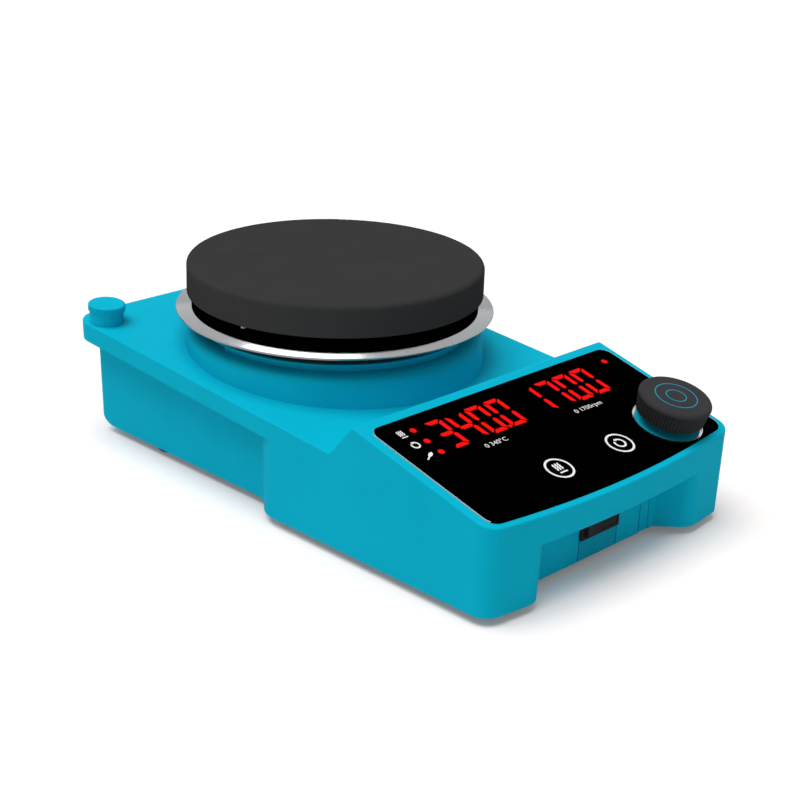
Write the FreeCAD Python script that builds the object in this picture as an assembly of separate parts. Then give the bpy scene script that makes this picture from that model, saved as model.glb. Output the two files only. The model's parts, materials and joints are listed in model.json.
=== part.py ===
import FreeCAD, Part
import math
import os

# Hotplate magnetic stirrer. Millimetres, +Z up, +X to the operator's right, -Y towards the operator.
# The origin is on the bench, below the middle of the body's overall length and width.

# Driving sizes of the body
foot_height = 4.0
wall = 3.0
draft_angle = 1.06
half_width = 77.2
front_reach = 171.8
rear_reach = 93.8
bow_radius = 560.0
front_corner_radius = 8.0
rear_corner_radius = 11.0
side_inset = 10.2
rear_inset = 2.5
inset_corner_radius = 4.0
step_start = 22.5
step_length = 22.5
heel_radius = 10.5
heel_lip = 3.0
deck_rise = 47.5
deck_slope = 4.15
flange_thickness = 8.9
edge_fillet = 0.9

# Control hump and its sloping panel
panel_slope = 14.25
hump_distance = 92.65
hump_height = 57.2
hump_back_angle = 49.9
hump_top_radius = 2.0
hump_foot_radius = 3.5

# Recess under the fascia, with a leg at each side
fascia_rise = 25.1
recess_distance = 158.0
recess_half_width = 39.0
recess_corner_radius = 1.5
leg_gap_half_width = 48.7
leg_flare = 0.06
leg_blend_radius = 9.0
strip_x = 32.4
strip_width = 6.5
strip_depth = 0.4

# Collar under the hot plate
collar_radius = 67.9
collar_foot_radius = 68.8
collar_rise = 10.3
collar_shoulder = 4.8
groove_depth = 2.4
groove_height = 2.8
lip_depth = 1.8
lip_thickness = 0.6
collar_wall = 3.2
collar_roof = 2.6
vent_count = 3
vent_angle = 24.0
vent_rib_angle = 4.0
vent_first_angle = 4.0
vent_reach = 10.7
lead_hole_radius = 8.0
lead_hole_distance = 32.0

# Hot plate and what lies between it and the collar
plate_radius = 67.5
plate_thickness = 14.8
plate_fillet = 2.5
plate_pocket_radius = 61.0
plate_pocket_depth = 7.2
heater_radius = 58.0
heater_bore_radius = 9.0
heater_thickness = 3.0
insulation_thickness = 2.5
clamp_thickness = 1.5
plate_air_gap = 4.1
shield_radius = 65.4
shield_thickness = 3.0
shield_bore_radius = 12.0
ring_radius = 72.5
ring_bore_radius = 50.0
ring_thickness = 0.9
spacer_radius = 60.7
spacer_bore_radius = 38.0
spacer_thickness = 5.8
pillar_circle = 44.0
pillar_radius = 4.0
pillar_count = 4
sensor_radius = 8.0
bead_radius = 1.25
bead_height = 3.0
bead_distance = 61.8
bead_angle = 187.0

# Glass control panel, measured along the sloping panel from its rear edge
glass_half_width = half_width - 3.1
glass_start = 5.5
glass_end = 79.3
glass_front_corner = 5.5
glass_rear_corner = 5.0
glass_thickness = 2.0
glass_proud = 0.6
knob_x = half_width - 24.9
knob_along = 60.6
knob_hole_radius = 15.7
bezel_width = 1.1
bezel_height = 0.9
display_along = 22.0
display_width = 47.0
display_length = 24.0
temperature_display_x = -27.3
speed_display_x = 28.9
indicator_x = -(half_width - 19.7)
indicator_pitch = 8.1
indicator_count = 3
lamp_radius = 1.5
power_lamp_x = half_width - 12.0
power_lamp_along = 13.95
key_x = 19.5
key_along = 61.5
key_pad_radius = 5.0
bezel_lip = 0.3

# Control knob and its rotary encoder
knob_gap = 4.4
knob_height = 9.5
knob_foot_radius = 14.9
knob_radius = 16.1
knob_skirt = 7.6
knob_edge_radius = 1.7
knob_rib_count = 68
knob_rib_depth = 0.5
knob_recess_radius = 11.0
knob_recess_depth = 2.5
knob_travel = 0.5
knob_bore_depth = 6.5
encoder_shaft_radius = 3.0
bushing_radius = 4.5
bushing_height = 3.0
encoder_side = 12.4
encoder_height = 5.6
encoder_rotor_radius = 4.6
encoder_rotor_height = 3.0
rotor_rise = 1.2
shaft_flat_depth = 0.8
encoder_nut_radius = 6.5
encoder_nut_height = 2.2

# Support rod socket in the rear left corner, and the cap that closes it
cap_x = -(half_width - 8.3)
cap_distance = 81.4
cap_radius = 8.57
cap_neck_radius = 7.8
cap_neck_height = 6.0
cap_knurl_height = 3.0
cap_tooth_count = 42
cap_tooth_depth = 0.4
cap_edge = 0.6
cap_stub_length = 6.4
seal_radius = 6.2
seal_thickness = 0.8
socket_bore_radius = 5.0
socket_wall = 1.4
socket_depth = 8.2
socket_floor = 1.0

# Stirring motor and magnets
motor_radius = 26.0
motor_height = 22.0
motor_skin = 1.3
shaft_radius = 3.0
shaft_shoulder = 4.0
bearing_radius = 7.5
bearing_width = 5.0
hub_radius = 9.5
rotor_core_radius = 14.5
rotor_gap = 0.5
stator_height = 9.0
stator_rise = 7.5
stator_slot_width = 3.0
stator_slots = 6
bracket_thickness = 2.5
bracket_disc_radius = 28.0
bracket_arm_width = 14.0
bracket_screw_x = half_width - 25.2
bracket_screw_distance = 48.0
magnet_length = 20.0
magnet_width = 12.0
magnet_height = 9.0
magnet_spread = 40.0
magnet_seat = 1.0
magnet_clearance = 1.6
holder_radius = 36.0
holder_thickness = 4.0
holder_hub_radius = 7.0
holder_hub_height = 4.0

# Base plate, feet and screws
base_thickness = 2.0
foot_radius = 6.0
foot_x = half_width - 20.2
rear_foot_distance = 50.0
front_foot_distance = -140.0
foot_plug_radius = 2.9
foot_barb_radius = 3.6
foot_barb_height = 1.2
rear_screw_x = half_width - side_inset - 11.0
middle_screw_x = half_width - side_inset - 9.0
front_screw_x = half_width - 11.2
base_screw_points = [(rear_screw_x, 71.0), (middle_screw_x, -14.0), (front_screw_x, -88.0)]
boss_radius = 4.5
small_boss_radius = 3.5
screw_radius = 1.6
screw_head_radius = 2.9
screw_head_height = 1.8
screw_slot = 0.7
base_screw_length = 10.0
bracket_screw_length = 5.0
board_screw_length = 6.0

# Front switch
switch_x = 0.95
switch_panel_width = 24.8
switch_flange = 2.0
switch_flange_thickness = 1.5
switch_centre_rise = 16.6
rim_width = 24.4
rim_height = 14.0
rim_proud = 1.2
switch_body_width = 22.8
switch_body_height = 12.4
switch_depth = 14.0
rocker_width = 22.0
rocker_height = 11.0
rocker_axis_depth = 2.5
rocker_crest = 3.6
rocker_tail = 3.5
rocker_swing = 5.0
rocker_gap = 0.2
rocker_tail_half_width = 3.0
lug_spread = 12.0
lug_width = 3.0
lug_thickness = 0.8
lug_length = 4.0

# Rear sockets
inlet_x = 30.0
inlet_rise = 24.0
inlet_width = 27.0
inlet_height = 20.0
inlet_flange_edge = 2.5
inlet_flange_thickness = 2.5
inlet_chamfer = 4.0
inlet_depth = 20.0
inlet_shell = 1.6
inlet_socket_depth = 16.0
pin_width = 4.0
pin_thickness = 2.0
pin_length = 13.0
pin_spread = 14.0
earth_pin_rise = 4.0
live_pin_rise = 0.0
probe_x = -34.0
probe_flange_radius = 8.0
probe_flange_thickness = 2.0
probe_body_radius = 6.0
probe_bore_radius = 4.6
probe_bore_depth = 7.0
probe_depth = 12.0
probe_nut_radius = 8.5
probe_nut_thickness = 2.5
probe_pin_radius = 0.5
probe_pin_circle = 2.6
probe_pin_count = 5

# Circuit boards
board_thickness = 1.6
control_board_half_width = half_width - 8.2
control_board_start = 8.0
control_board_end = 72.0
control_board_depth = 9.0
control_post_x = control_board_half_width - 5.0
control_posts = [(-control_post_x, 42.0), (control_post_x, 42.0), (-50.0, 66.0), (0.0, 66.0)]
power_board_half_width = half_width - 29.2
power_board_front = -118.0
power_board_rear = -62.0
power_board_rise = 6.0
power_post_inset = 6.0
transformer_x = -24.0
transformer_side = 34.0
transformer_height = 24.0
capacitor_x = 14.0
capacitor_radius = 8.0
capacitor_height = 24.0
sink_x = 30.0
sink_width = 30.0
sink_fins = 6
sink_fin_thickness = 1.5
sink_height = 20.0
sink_back_thickness = 2.0
sink_fin_reach = 9.0
heater_device_width = 10.0
heater_device_thickness = 4.5
heater_device_height = 15.0

# Clearances
seam_gap = 0.2
plate_gap = 0.3
running_gap = 0.05

# Heights and places worked out from the driving sizes
lean = math.tan(math.radians(draft_angle))
deck_tangent = math.tan(math.radians(deck_slope))
panel_tangent = math.tan(math.radians(panel_slope))
body_bottom = foot_height
deck_level = body_bottom + deck_rise
hump_top = body_bottom + hump_height
fascia_level = body_bottom + fascia_rise
panel_front_height = hump_top - panel_tangent * (front_reach - hump_distance)
front_limit = front_reach + lean * (panel_front_height - body_bottom)
rear_limit = rear_reach + lean * (deck_rise + deck_tangent * rear_reach)
plate_y = (front_limit - rear_limit) / 2
rear_wall = rear_reach - rear_inset
collar_top = deck_level + collar_rise
groove_radius = collar_radius - collar_shoulder - groove_depth
lip_radius = groove_radius + lip_depth
lip_top = collar_top + groove_height + lip_thickness
roof_bottom = lip_top - collar_roof
ring_bottom = lip_top + spacer_thickness
shield_bottom = ring_bottom + ring_thickness
shield_top = shield_bottom + shield_thickness
plate_bottom = shield_top + plate_air_gap
plate_top = plate_bottom + plate_thickness
pocket_top = plate_bottom + plate_pocket_depth
heater_bottom = pocket_top - heater_thickness
insulation_bottom = heater_bottom - insulation_thickness
clamp_bottom = insulation_bottom - clamp_thickness
base_top = body_bottom + base_thickness
magnet_top = roof_bottom - magnet_clearance
magnet_bottom = magnet_top - magnet_height
holder_bottom = magnet_bottom + magnet_seat - holder_thickness
bracket_top = holder_bottom - holder_hub_height - 1.0
bracket_bottom = bracket_top - bracket_thickness
can_bottom = bracket_bottom - motor_height
lower_bearing = can_bottom + motor_skin
upper_bearing = bracket_top - bearing_width
board_top = -control_board_depth
glass_bottom = glass_proud - glass_thickness
switch_level = body_bottom + switch_centre_rise
rotor_low = board_top + rotor_rise
stator_low = can_bottom + stator_rise


def vec(x, y, z=0.0):
    return FreeCAD.Vector(x, y, z)


def box(x0, x1, y0, y1, z0, z1):
    """Box between two corners."""
    return Part.makeBox(x1 - x0, y1 - y0, z1 - z0, vec(x0, y0, z0))


def rod(radius, z0, z1, x=0.0, y=0.0):
    """Upright cylinder between two heights."""
    return Part.makeCylinder(radius, z1 - z0, vec(x, y, z0))


def tube(outer, inner, z0, z1, x=0.0, y=0.0):
    return rod(outer, z0, z1, x, y).cut(rod(inner, z0, z1, x, y))


def fuse(shapes):
    """Shapes joined into one."""
    if len(shapes) == 1:
        return shapes[0]
    return shapes[0].multiFuse(shapes[1:]).removeSplitter()


def cut(shape, tools):
    """A shape less each of the tools."""
    return shape.cut(Part.Compound(tools)) if tools else shape


def export(shape, node):
    """Writes a sub-part, one solid or several alike."""
    solids = shape.Solids
    body = solids[0] if len(solids) == 1 else Part.Compound(solids)
    body.exportStep("parts/" + node + ".step")


def rounded_wire(corners):
    """Closed wire in the XY plane through (x, y, radius) corners."""
    edges = []
    ends = []
    count = len(corners)
    for i in range(count):
        before = vec(*corners[i - 1][:2])
        corner = vec(*corners[i][:2])
        after = vec(*corners[(i + 1) % count][:2])
        radius = corners[i][2]
        if radius == 0:
            ends.append((corner, corner, None))
            continue
        back = (before - corner).normalize()
        ahead = (after - corner).normalize()
        half = back.getAngle(ahead) / 2
        reach = radius / math.tan(half)
        middle = (back + ahead).normalize()
        through = corner + middle * (radius / math.sin(half) - radius)
        ends.append((corner + back * reach, corner + ahead * reach, through))
    for i in range(count):
        start, finish, through = ends[i]
        if through is not None:
            edges.append(Part.Arc(start, through, finish).toShape())
        following = ends[(i + 1) % count][0]
        if (following - finish).Length > 1e-6:
            edges.append(line(finish, following))
    return Part.Wire(edges)


def line(a, b):
    return Part.LineSegment(a, b).toShape()


def arc(x, y, radius, start, finish):
    """Arc about (x, y) between two angles in degrees, with its two ends."""
    points = []
    for angle in (start, (start + finish) / 2, finish):
        turn = math.radians(angle)
        points.append(vec(x + radius * math.cos(turn), y + radius * math.sin(turn)))
    return Part.Arc(*points).toShape(), points[0], points[2]


def prism(wire, z0, z1):
    """Upright prism on a wire drawn at height 0."""
    face = Part.Face(wire)
    face.translate(vec(0, 0, z0))
    return face.extrude(vec(0, 0, z1 - z0))


def side_prism(corners, x0, x1):
    """Prism along X on an outline of (distance, height, radius) corners."""
    solid = prism(rounded_wire(corners), x0, x1)
    solid.rotate(vec(0, 0, 0), vec(1, 0, 0), 90)
    solid.rotate(vec(0, 0, 0), vec(0, 0, 1), 90)
    solid.translate(vec(0, plate_y, 0))
    return solid


def turned(corners, x=0.0, y=0.0):
    """Solid of revolution about an upright axis, from (radius, height, rounding) corners."""
    face = Part.Face(rounded_wire(corners))
    face.rotate(vec(0, 0, 0), vec(1, 0, 0), 90)
    solid = face.revolve(vec(0, 0, 0), vec(0, 0, 1), 360)
    solid.translate(vec(x, y, 0))
    return solid


def toothed_wire(radius, count, depth, flat):
    """Closed wire with teeth all round; flat is the share of a pitch that each crest takes."""
    points = []
    pitch = 2 * math.pi / count
    for i in range(count):
        for share, reach in ((0, radius), (flat, radius), ((1 + flat) / 2, radius - depth)):
            turn = pitch * (i + share)
            points.append(vec(reach * math.cos(turn), reach * math.sin(turn)))
    return Part.makePolygon(points + points[:1])


def around(shape, count, start=0.0, x=0.0, y=0.0):
    """Copies of a shape spaced evenly about an upright axis."""
    copies = []
    for i in range(count):
        copy = shape.copy()
        copy.rotate(vec(x, y, 0), vec(0, 0, 1), start + i * 360 / count)
        copies.append(copy)
    return copies


def on_panel(shape):
    """Moves a shape from the panel's own frame, which starts at its rear edge, to its place."""
    placed = shape.copy()
    placed.rotate(vec(0, 0, 0), vec(1, 0, 0), panel_slope)
    placed.translate(vec(0, plate_y - hump_distance, hump_top))
    return placed


def on_deck(shape):
    """Moves a shape from the socket's own frame, which stands on the deck, to its place."""
    placed = shape.copy()
    placed.rotate(vec(0, 0, 0), vec(1, 0, 0), deck_slope)
    placed.translate(vec(cap_x, plate_y + cap_distance, deck_level + deck_tangent * cap_distance))
    return placed


def on_rear(shape):
    """Moves a shape from a frame on the rear wall's outer face to its place."""
    placed = shape.copy()
    placed.rotate(vec(0, 0, 0), vec(1, 0, 0), -draft_angle)
    placed.translate(vec(0, plate_y + rear_wall, body_bottom))
    return placed


def backwards(shape, x, z):
    """Turns a shape that points up until it points to the rear, at x and height z."""
    placed = shape.copy()
    placed.rotate(vec(0, 0, 0), vec(1, 0, 0), -90)
    placed.translate(vec(x, 0, z))
    return placed


def bowed_wire(side, front, rear, bow, corner, rear_corner, side_edges=None):
    """Outline with a bowed front, alike on both sides; side_edges(start) may replace a side."""
    bow_y = front + bow
    corner_y = bow_y - math.sqrt((bow - corner) ** 2 - (side - corner) ** 2)
    swing = math.degrees(math.atan2(corner_y - bow_y, side - corner))
    nose, nose_start, nose_end = arc(0, bow_y, bow, -180 - swing, swing)
    turn, turn_start, turn_end = arc(side - corner, corner_y, corner, swing, 0)
    if side_edges:
        flank = side_edges(turn_end)
        side = flank[-1].Vertexes[-1].X
    else:
        flank = [line(turn_end, vec(side, rear - rear_corner))]
    bend, bend_start, bend_end = arc(side - rear_corner, rear - rear_corner, rear_corner, 0, 90)
    half = [turn] + flank + [bend]
    mirrored = [edge.mirror(vec(0, 0, 0), vec(1, 0, 0)) for edge in reversed(half)]
    tail = line(bend_end, vec(-bend_end.x, bend_end.y))
    return Part.Wire([nose] + half + [tail] + mirrored)


def body_wire(z, skin, step):
    """Outline of the body at height z, taken inwards by skin, the rear narrower if step is set."""
    grow = lean * (z - body_bottom) - skin
    side = half_width + grow
    rear = rear_reach + grow - (rear_inset if step else 0)
    rear_corner = max((inset_corner_radius if step else rear_corner_radius) - skin, 1.0)

    def flank(start):
        """S of two equal arcs from the full width to the narrower rear."""
        radius = (side_inset ** 2 + step_length ** 2) / (4 * side_inset)
        spread = math.degrees(2 * math.atan2(side_inset, step_length))
        outer, outer_start, outer_end = arc(
            side - radius + skin, -step_start - step_length, radius - skin, 0, spread)
        inner, inner_start, inner_end = arc(
            side - side_inset + radius + skin, -step_start, radius + skin, 180 + spread, 180)
        rear_end = vec(side - side_inset, rear - rear_corner)
        edges = [line(start, outer_start), outer]
        if (inner_start - outer_end).Length > 1e-6:
            edges.append(line(outer_end, inner_start))
        return edges + [inner, line(inner_end, rear_end)]

    wire = bowed_wire(side, -front_reach - grow, rear, bow_radius - skin,
                      front_corner_radius - skin, rear_corner, flank if step else None)
    wire.translate(vec(0, plate_y, z))
    return wire


def body_prism(skin, step, z0, z1):
    """Drafted prism of the body, wider towards the top."""
    return Part.makeLoft([body_wire(z0, skin, step), body_wire(z1, skin, step)], True, True)


def top_space(skin, bottom):
    """Everything under the deck, the hump and the sloping panel."""
    back = math.tan(math.radians(hump_back_angle))
    panel_line = hump_top + panel_tangent * hump_distance - skin / math.cos(math.radians(panel_slope))
    back_line = hump_top - back * hump_distance - skin / math.cos(math.radians(hump_back_angle))
    deck_line = deck_level - skin / math.cos(math.radians(deck_slope))
    ridge = (panel_line - back_line) / (-back - panel_tangent)
    valley = (deck_line - back_line) / (-back - deck_tangent)
    far = front_limit + 20
    return side_prism([
        (-far, bottom, 0),
        (far, bottom, 0),
        (far, deck_line + deck_tangent * far, 0),
        (valley, deck_line + deck_tangent * valley, hump_foot_radius),
        (ridge, panel_line + panel_tangent * ridge, hump_top_radius),
        (-far, panel_line - panel_tangent * far, 0),
    ], -half_width - 10, half_width + 10)


def flange_space():
    """Everything above the flange's underside, behind the step in the sides."""
    front = -step_start - step_length
    far = rear_limit + 20
    under = deck_level - flange_thickness
    high = 2 * deck_level
    return side_prism([
        (front, under + deck_tangent * front, 0),
        (far, under + deck_tangent * far, 0),
        (far, high, 0),
        (front, high, 0),
    ], -half_width - 10, half_width + 10)


def heel_space(skin):
    """Everything in front of the rear wall and above its rounded lower edge."""
    wall_line = rear_wall - skin
    high = 2 * deck_level
    far = -front_limit - 20
    top = (wall_line + lean * (high - body_bottom), high, 0)
    if skin == 0:
        lower = [(wall_line, body_bottom, heel_radius)]
        floor = body_bottom
    else:
        lip = rear_wall - heel_radius - heel_lip
        floor = body_bottom - skin
        lower = [(lip, floor, 0), (lip, body_bottom + skin, 0),
                 (wall_line + lean * skin, body_bottom + skin, heel_radius - skin)]
    return side_prism([(far, floor, 0)] + lower + [top, (far, high, 0)],
                      -half_width - 10, half_width + 10)


def collar_solid():
    """Collar from inside the deck up to the lip that carries the hot plate's stack."""
    low = deck_level - flange_thickness
    shoulder = collar_shoulder
    corners = [
        (0, low, 0),
        (collar_foot_radius, low, 0),
        (collar_foot_radius, deck_level - 2 * wall, 0),
        (collar_radius, collar_top, shoulder),
        (groove_radius, collar_top, 0),
        (groove_radius, lip_top - lip_thickness, 0),
        (lip_radius, lip_top - lip_thickness, 0),
        (lip_radius, lip_top, 0),
        (0, lip_top, 0),
    ]
    return turned(corners, 0, plate_y)


def collar_cavity():
    """Room inside the collar for the turning magnets."""
    low = deck_level - 2 * flange_thickness
    inner = collar_radius - collar_wall
    throat = groove_radius - collar_wall
    return turned([
        (0, low, 0),
        (inner, low, 0),
        (inner, collar_top - collar_shoulder - collar_wall / 2, 0),
        (throat, collar_top - collar_wall / 2, 0),
        (throat, roof_bottom, 0),
        (0, roof_bottom, 0),
    ], 0, plate_y)


def vents():
    """Slots through the groove's wall, rear left and rear right of the plate."""
    inner = groove_radius - vent_reach
    band = tube(groove_radius + 0.5, inner, collar_top, lip_top - lip_thickness)
    slots = []
    for side in (0, 90):
        for i in range(vent_count):
            start = side + vent_first_angle + i * (vent_angle + vent_rib_angle)
            reach = 2 * collar_radius
            first = math.radians(start)
            last = math.radians(start + vent_angle)
            sector = Part.makePolygon([
                vec(0, 0), vec(reach * math.cos(first), reach * math.sin(first)),
                vec(reach * math.cos(last), reach * math.sin(last)), vec(0, 0)])
            slot = band.common(prism(sector, body_bottom, 2 * deck_level))
            slot.translate(vec(0, plate_y, 0))
            slots.append(slot)
    return slots


def recess_wire(z, skin):
    """Outline of the switch recess at height z, grown by skin into the body."""
    mouth = leg_gap_half_width + leg_flare * (fascia_level - z)
    front = -front_reach - lean * (z - body_bottom)
    bow_y = front + bow_radius
    mouth_y = bow_y - math.sqrt(bow_radius ** 2 - mouth ** 2)
    rise = mouth / bow_radius
    outside = 14.0
    far = -front_limit - 30
    run = vec(mouth - recess_half_width, mouth_y + recess_distance).normalize()
    shift = skin * (1 - abs(run.x)) / abs(run.y)
    wall_x = recess_half_width + shift
    wall_y = -recess_distance + skin
    if skin:
        beyond = wall_x + (far - wall_y) * run.x / run.y
        right = [(wall_x, wall_y, recess_corner_radius), (beyond, far, 0)]
    else:
        right = [
            (wall_x, wall_y, recess_corner_radius),
            (mouth, mouth_y, leg_blend_radius),
            (mouth + outside, mouth_y + rise * outside, 0),
            (mouth + outside, far, 0),
        ]
    left = [(-x, y, r) for x, y, r in reversed(right)]
    wire = rounded_wire(right + left)
    wire.translate(vec(0, plate_y, z))
    return wire


def recess_space(skin):
    """Recess under the fascia that the switch faces."""
    wires = [recess_wire(body_bottom - 1, skin), recess_wire(fascia_level + skin, skin)]
    return Part.makeLoft(wires, True, True)


def rim_edges(shape):
    """Outer edges of the deck and the panel, where they meet the sides."""
    picked = []
    for edge in shape.Edges:
        middle = edge.valueAt((edge.FirstParameter + edge.LastParameter) / 2)
        distance = middle.y - plate_y
        level = deck_level + deck_tangent * distance
        if distance < -hump_distance:
            level = hump_top + panel_tangent * (distance + hump_distance)
        near_rim = abs(middle.z - level) < 0.1
        inside = body_wire(middle.z, 1.0, False)
        inner = Part.Face(inside).isInside(middle, 0.01, True)
        on_hump = -hump_distance - 4 < distance < -hump_distance + 16
        if near_rim and not inner and not on_hump and edge.Length > 1:
            picked.append(edge)
    return picked


def outer_form():
    """Solid outer form of the housing, before it is hollowed."""
    top = top_space(0, body_bottom)
    high = hump_top + 10
    lower = body_prism(0, True, body_bottom, high).common(heel_space(0)).common(top)
    upper = body_prism(0, False, body_bottom, high).common(flange_space()).common(top)
    form = lower.fuse(upper).removeSplitter()
    form = form.makeFillet(edge_fillet, rim_edges(form))
    return form.fuse(collar_solid()).cut(recess_space(0))


def glass_wire(grow):
    """Outline of the panel's glass, grown by a gap."""
    return bowed_wire(glass_half_width + grow, -glass_end - grow, -glass_start + grow,
                      bow_radius + grow, glass_front_corner + grow, glass_rear_corner + grow)


def panel_openings():
    """Seat of the glass with the windows under it, in the panel's frame."""
    depth = -2 * wall
    high = 5.0
    spigot = rod(knob_hole_radius - seam_gap, depth, 0, knob_x, -knob_along)
    seat = prism(glass_wire(seam_gap), glass_bottom, high).cut(spigot)
    tools = [seat]
    for x in (temperature_display_x, speed_display_x):
        half = display_width / 2 + seam_gap
        reach = display_length / 2 + seam_gap
        tools.append(box(x - half, x + half, -display_along - reach, -display_along + reach, depth, 0))
    row = indicator_pitch * (indicator_count - 1) / 2 + 2 * lamp_radius
    tools.append(box(indicator_x - 2 * lamp_radius, indicator_x + 2 * lamp_radius,
                     -display_along - row, -display_along + row, depth, 0))
    tools.append(rod(lamp_radius + seam_gap, depth, 0, power_lamp_x, -power_lamp_along))
    for x in (-key_x, key_x):
        tools.append(rod(key_pad_radius + seam_gap, depth, 0, x, -key_along))
    tools.append(rod(bushing_radius, depth, high, knob_x, -knob_along))
    return [on_panel(tool) for tool in tools]


def pillar_places():
    """Centres of the pillars that carry the hot plate."""
    places = []
    for i in range(pillar_count):
        turn = math.radians(45 + 360 * i / pillar_count)
        places.append((pillar_circle * math.cos(turn), plate_y + pillar_circle * math.sin(turn)))
    return places


def bracket_places():
    """Centres of the screws that hang the motor bracket from the deck."""
    return [(x, plate_y + y) for x in (-bracket_screw_x, bracket_screw_x)
            for y in (-bracket_screw_distance, bracket_screw_distance)]


def base_places():
    """Centres of the screws that hold the base plate."""
    return [(side * x, plate_y + y) for side in (-1, 1) for x, y in base_screw_points]


def foot_places():
    return [(x, plate_y + y) for x in (-foot_x, foot_x) for y in (rear_foot_distance, front_foot_distance)]


def bosses(cavity):
    """Screw posts inside the housing, trimmed to the room inside it."""
    posts = [rod(boss_radius, base_top, hump_top, x, y) for x, y in base_places()]
    posts += [rod(boss_radius, bracket_top, hump_top, x, y) for x, y in bracket_places()]
    posts += [on_panel(rod(small_boss_radius, board_top, 0, x, -y)) for x, y in control_posts]
    socket_post = socket_bore_radius + 2 * socket_wall
    posts.append(on_deck(rod(socket_post, -socket_depth - 2 * socket_floor, 0)))
    return fuse(posts).common(cavity)


def screw_holes():
    """Threaded holes for the screws, and clear ones for the plate's long screws."""
    depth = base_screw_length - base_thickness
    holes = [rod(screw_radius, body_bottom, base_top + depth, x, y) for x, y in base_places()]
    reach = bracket_screw_length - bracket_thickness
    holes += [rod(screw_radius, bracket_top, bracket_top + reach, x, y) for x, y in bracket_places()]
    reach = board_screw_length - board_thickness
    holes += [on_panel(rod(screw_radius, board_top, board_top + reach, x, -y)) for x, y in control_posts]
    holes += [rod(screw_radius + seam_gap, roof_bottom - 1, lip_top + 1, x, y) for x, y in pillar_places()]
    holes.append(rod(lead_hole_radius, roof_bottom - 1, lip_top + 1, 0, plate_y + lead_hole_distance))
    return holes


def inlet_outline(grow):
    """Outline of the mains inlet's socket, its upper corners cut off, seen from the rear."""
    half = inlet_width / 2 + grow
    low = -inlet_height / 2 - grow
    high = inlet_height / 2 + grow
    cut_off = inlet_chamfer
    return Part.makePolygon([
        vec(-half, low), vec(half, low), vec(half, high - cut_off), vec(half - cut_off, high),
        vec(-half + cut_off, high), vec(-half, high - cut_off), vec(-half, low)])


def inlet_block(grow, y0, y1):
    """Block on the inlet's outline, between two depths from the rear wall's outer face."""
    block = prism(inlet_outline(grow), y0, y1)
    block.rotate(vec(0, 0, 0), vec(1, 0, 0), -90)
    block.rotate(vec(0, 0, 0), vec(0, 1, 0), 180)
    block.translate(vec(inlet_x, 0, inlet_rise))
    return on_rear(block)


def probe_rod(radius, y0, y1):
    """Round bar on the probe socket's axis, between two depths from the rear wall's outer face."""
    return on_rear(backwards(rod(radius, y0, y1), probe_x, inlet_rise))


def switch_box(width, height, y0, y1, level=0.0):
    """Box about the switch's centre, between two depths from the recess wall's front face."""
    middle = switch_level + level
    front = plate_y - recess_distance
    return box(switch_x - width / 2, switch_x + width / 2, front + y0, front + y1,
               middle - height / 2, middle + height / 2)


def switch_opening():
    """Slot in the recess wall that the switch panel fills."""
    front = plate_y - recess_distance
    half = switch_panel_width / 2 + seam_gap
    return box(switch_x - half, switch_x + half, front - 1, front + wall + 0.01,
               body_bottom - 1, fascia_level)


def upper_housing():
    """Moulded housing: deck, collar, control hump, fascia, legs and sides, open below."""
    below = body_bottom - 1
    cavity = body_prism(wall, True, below, hump_top + 10).common(top_space(wall, below))
    cavity = cavity.common(heel_space(wall)).fuse(collar_cavity()).cut(recess_space(wall))
    front = plate_y - recess_distance
    strip = box(strip_x - strip_width / 2, strip_x + strip_width / 2, front - 1, front + strip_depth,
                body_bottom - 1, fascia_level)
    socket = on_deck(rod(socket_bore_radius + socket_wall, -socket_depth, 5.0))
    tools = vents() + panel_openings() + screw_holes()
    tools += [socket, strip, switch_opening(), inlet_block(0, -2 * wall, 5.0)]
    tools.append(probe_rod(probe_body_radius, -2 * wall, 5.0))
    shell = outer_form().cut(cavity).fuse(bosses(cavity))
    return cut(shell, tools).removeSplitter()


def base_plate():
    """Steel plate that closes the housing from below, with posts for the power board."""
    skin = wall + plate_gap
    wire = body_wire(body_bottom, skin, True)
    wire.translate(vec(0, 0, -body_bottom))
    plate = prism(wire, body_bottom, base_top)
    lip = plate_y + rear_wall - heel_radius - heel_lip - plate_gap
    rear_block = box(-half_width, half_width, lip, lip + 50, 0, base_top + 1)
    holes = [rod(screw_radius + seam_gap, 0, base_top + 1, x, y) for x, y in base_places()]
    holes += [rod(foot_plug_radius, 0, base_top + 1, x, y) for x, y in foot_places()]
    plate = plate.cut(recess_space(skin)).cut(rear_block)
    posts = [tube(small_boss_radius, screw_radius, base_top, base_top + power_board_rise, x, y)
             for x, y in power_posts()]
    return fuse([cut(plate, holes)] + posts)


def power_posts():
    """Centres of the power board's posts."""
    x = power_board_half_width - power_post_inset
    return [(sx, plate_y + y) for sx in (-x, x)
            for y in (power_board_front + power_post_inset, power_board_rear - power_post_inset)]


def rubber_feet():
    """Four feet, each with a plug that snaps through the base plate."""
    feet = []
    for x, y in foot_places():
        pad = turned([
            (0, 0, 0), (foot_radius - 0.6, 0, 0), (foot_radius, 0.6, 0), (foot_radius, foot_height, 0),
            (foot_plug_radius, foot_height, 0), (foot_plug_radius, base_top, 0),
            (foot_barb_radius, base_top, 0), (foot_plug_radius, base_top + foot_barb_height, 0),
            (0, base_top + foot_barb_height, 0)], x, y)
        feet.append(pad)
    return Part.Compound(feet)


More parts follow.
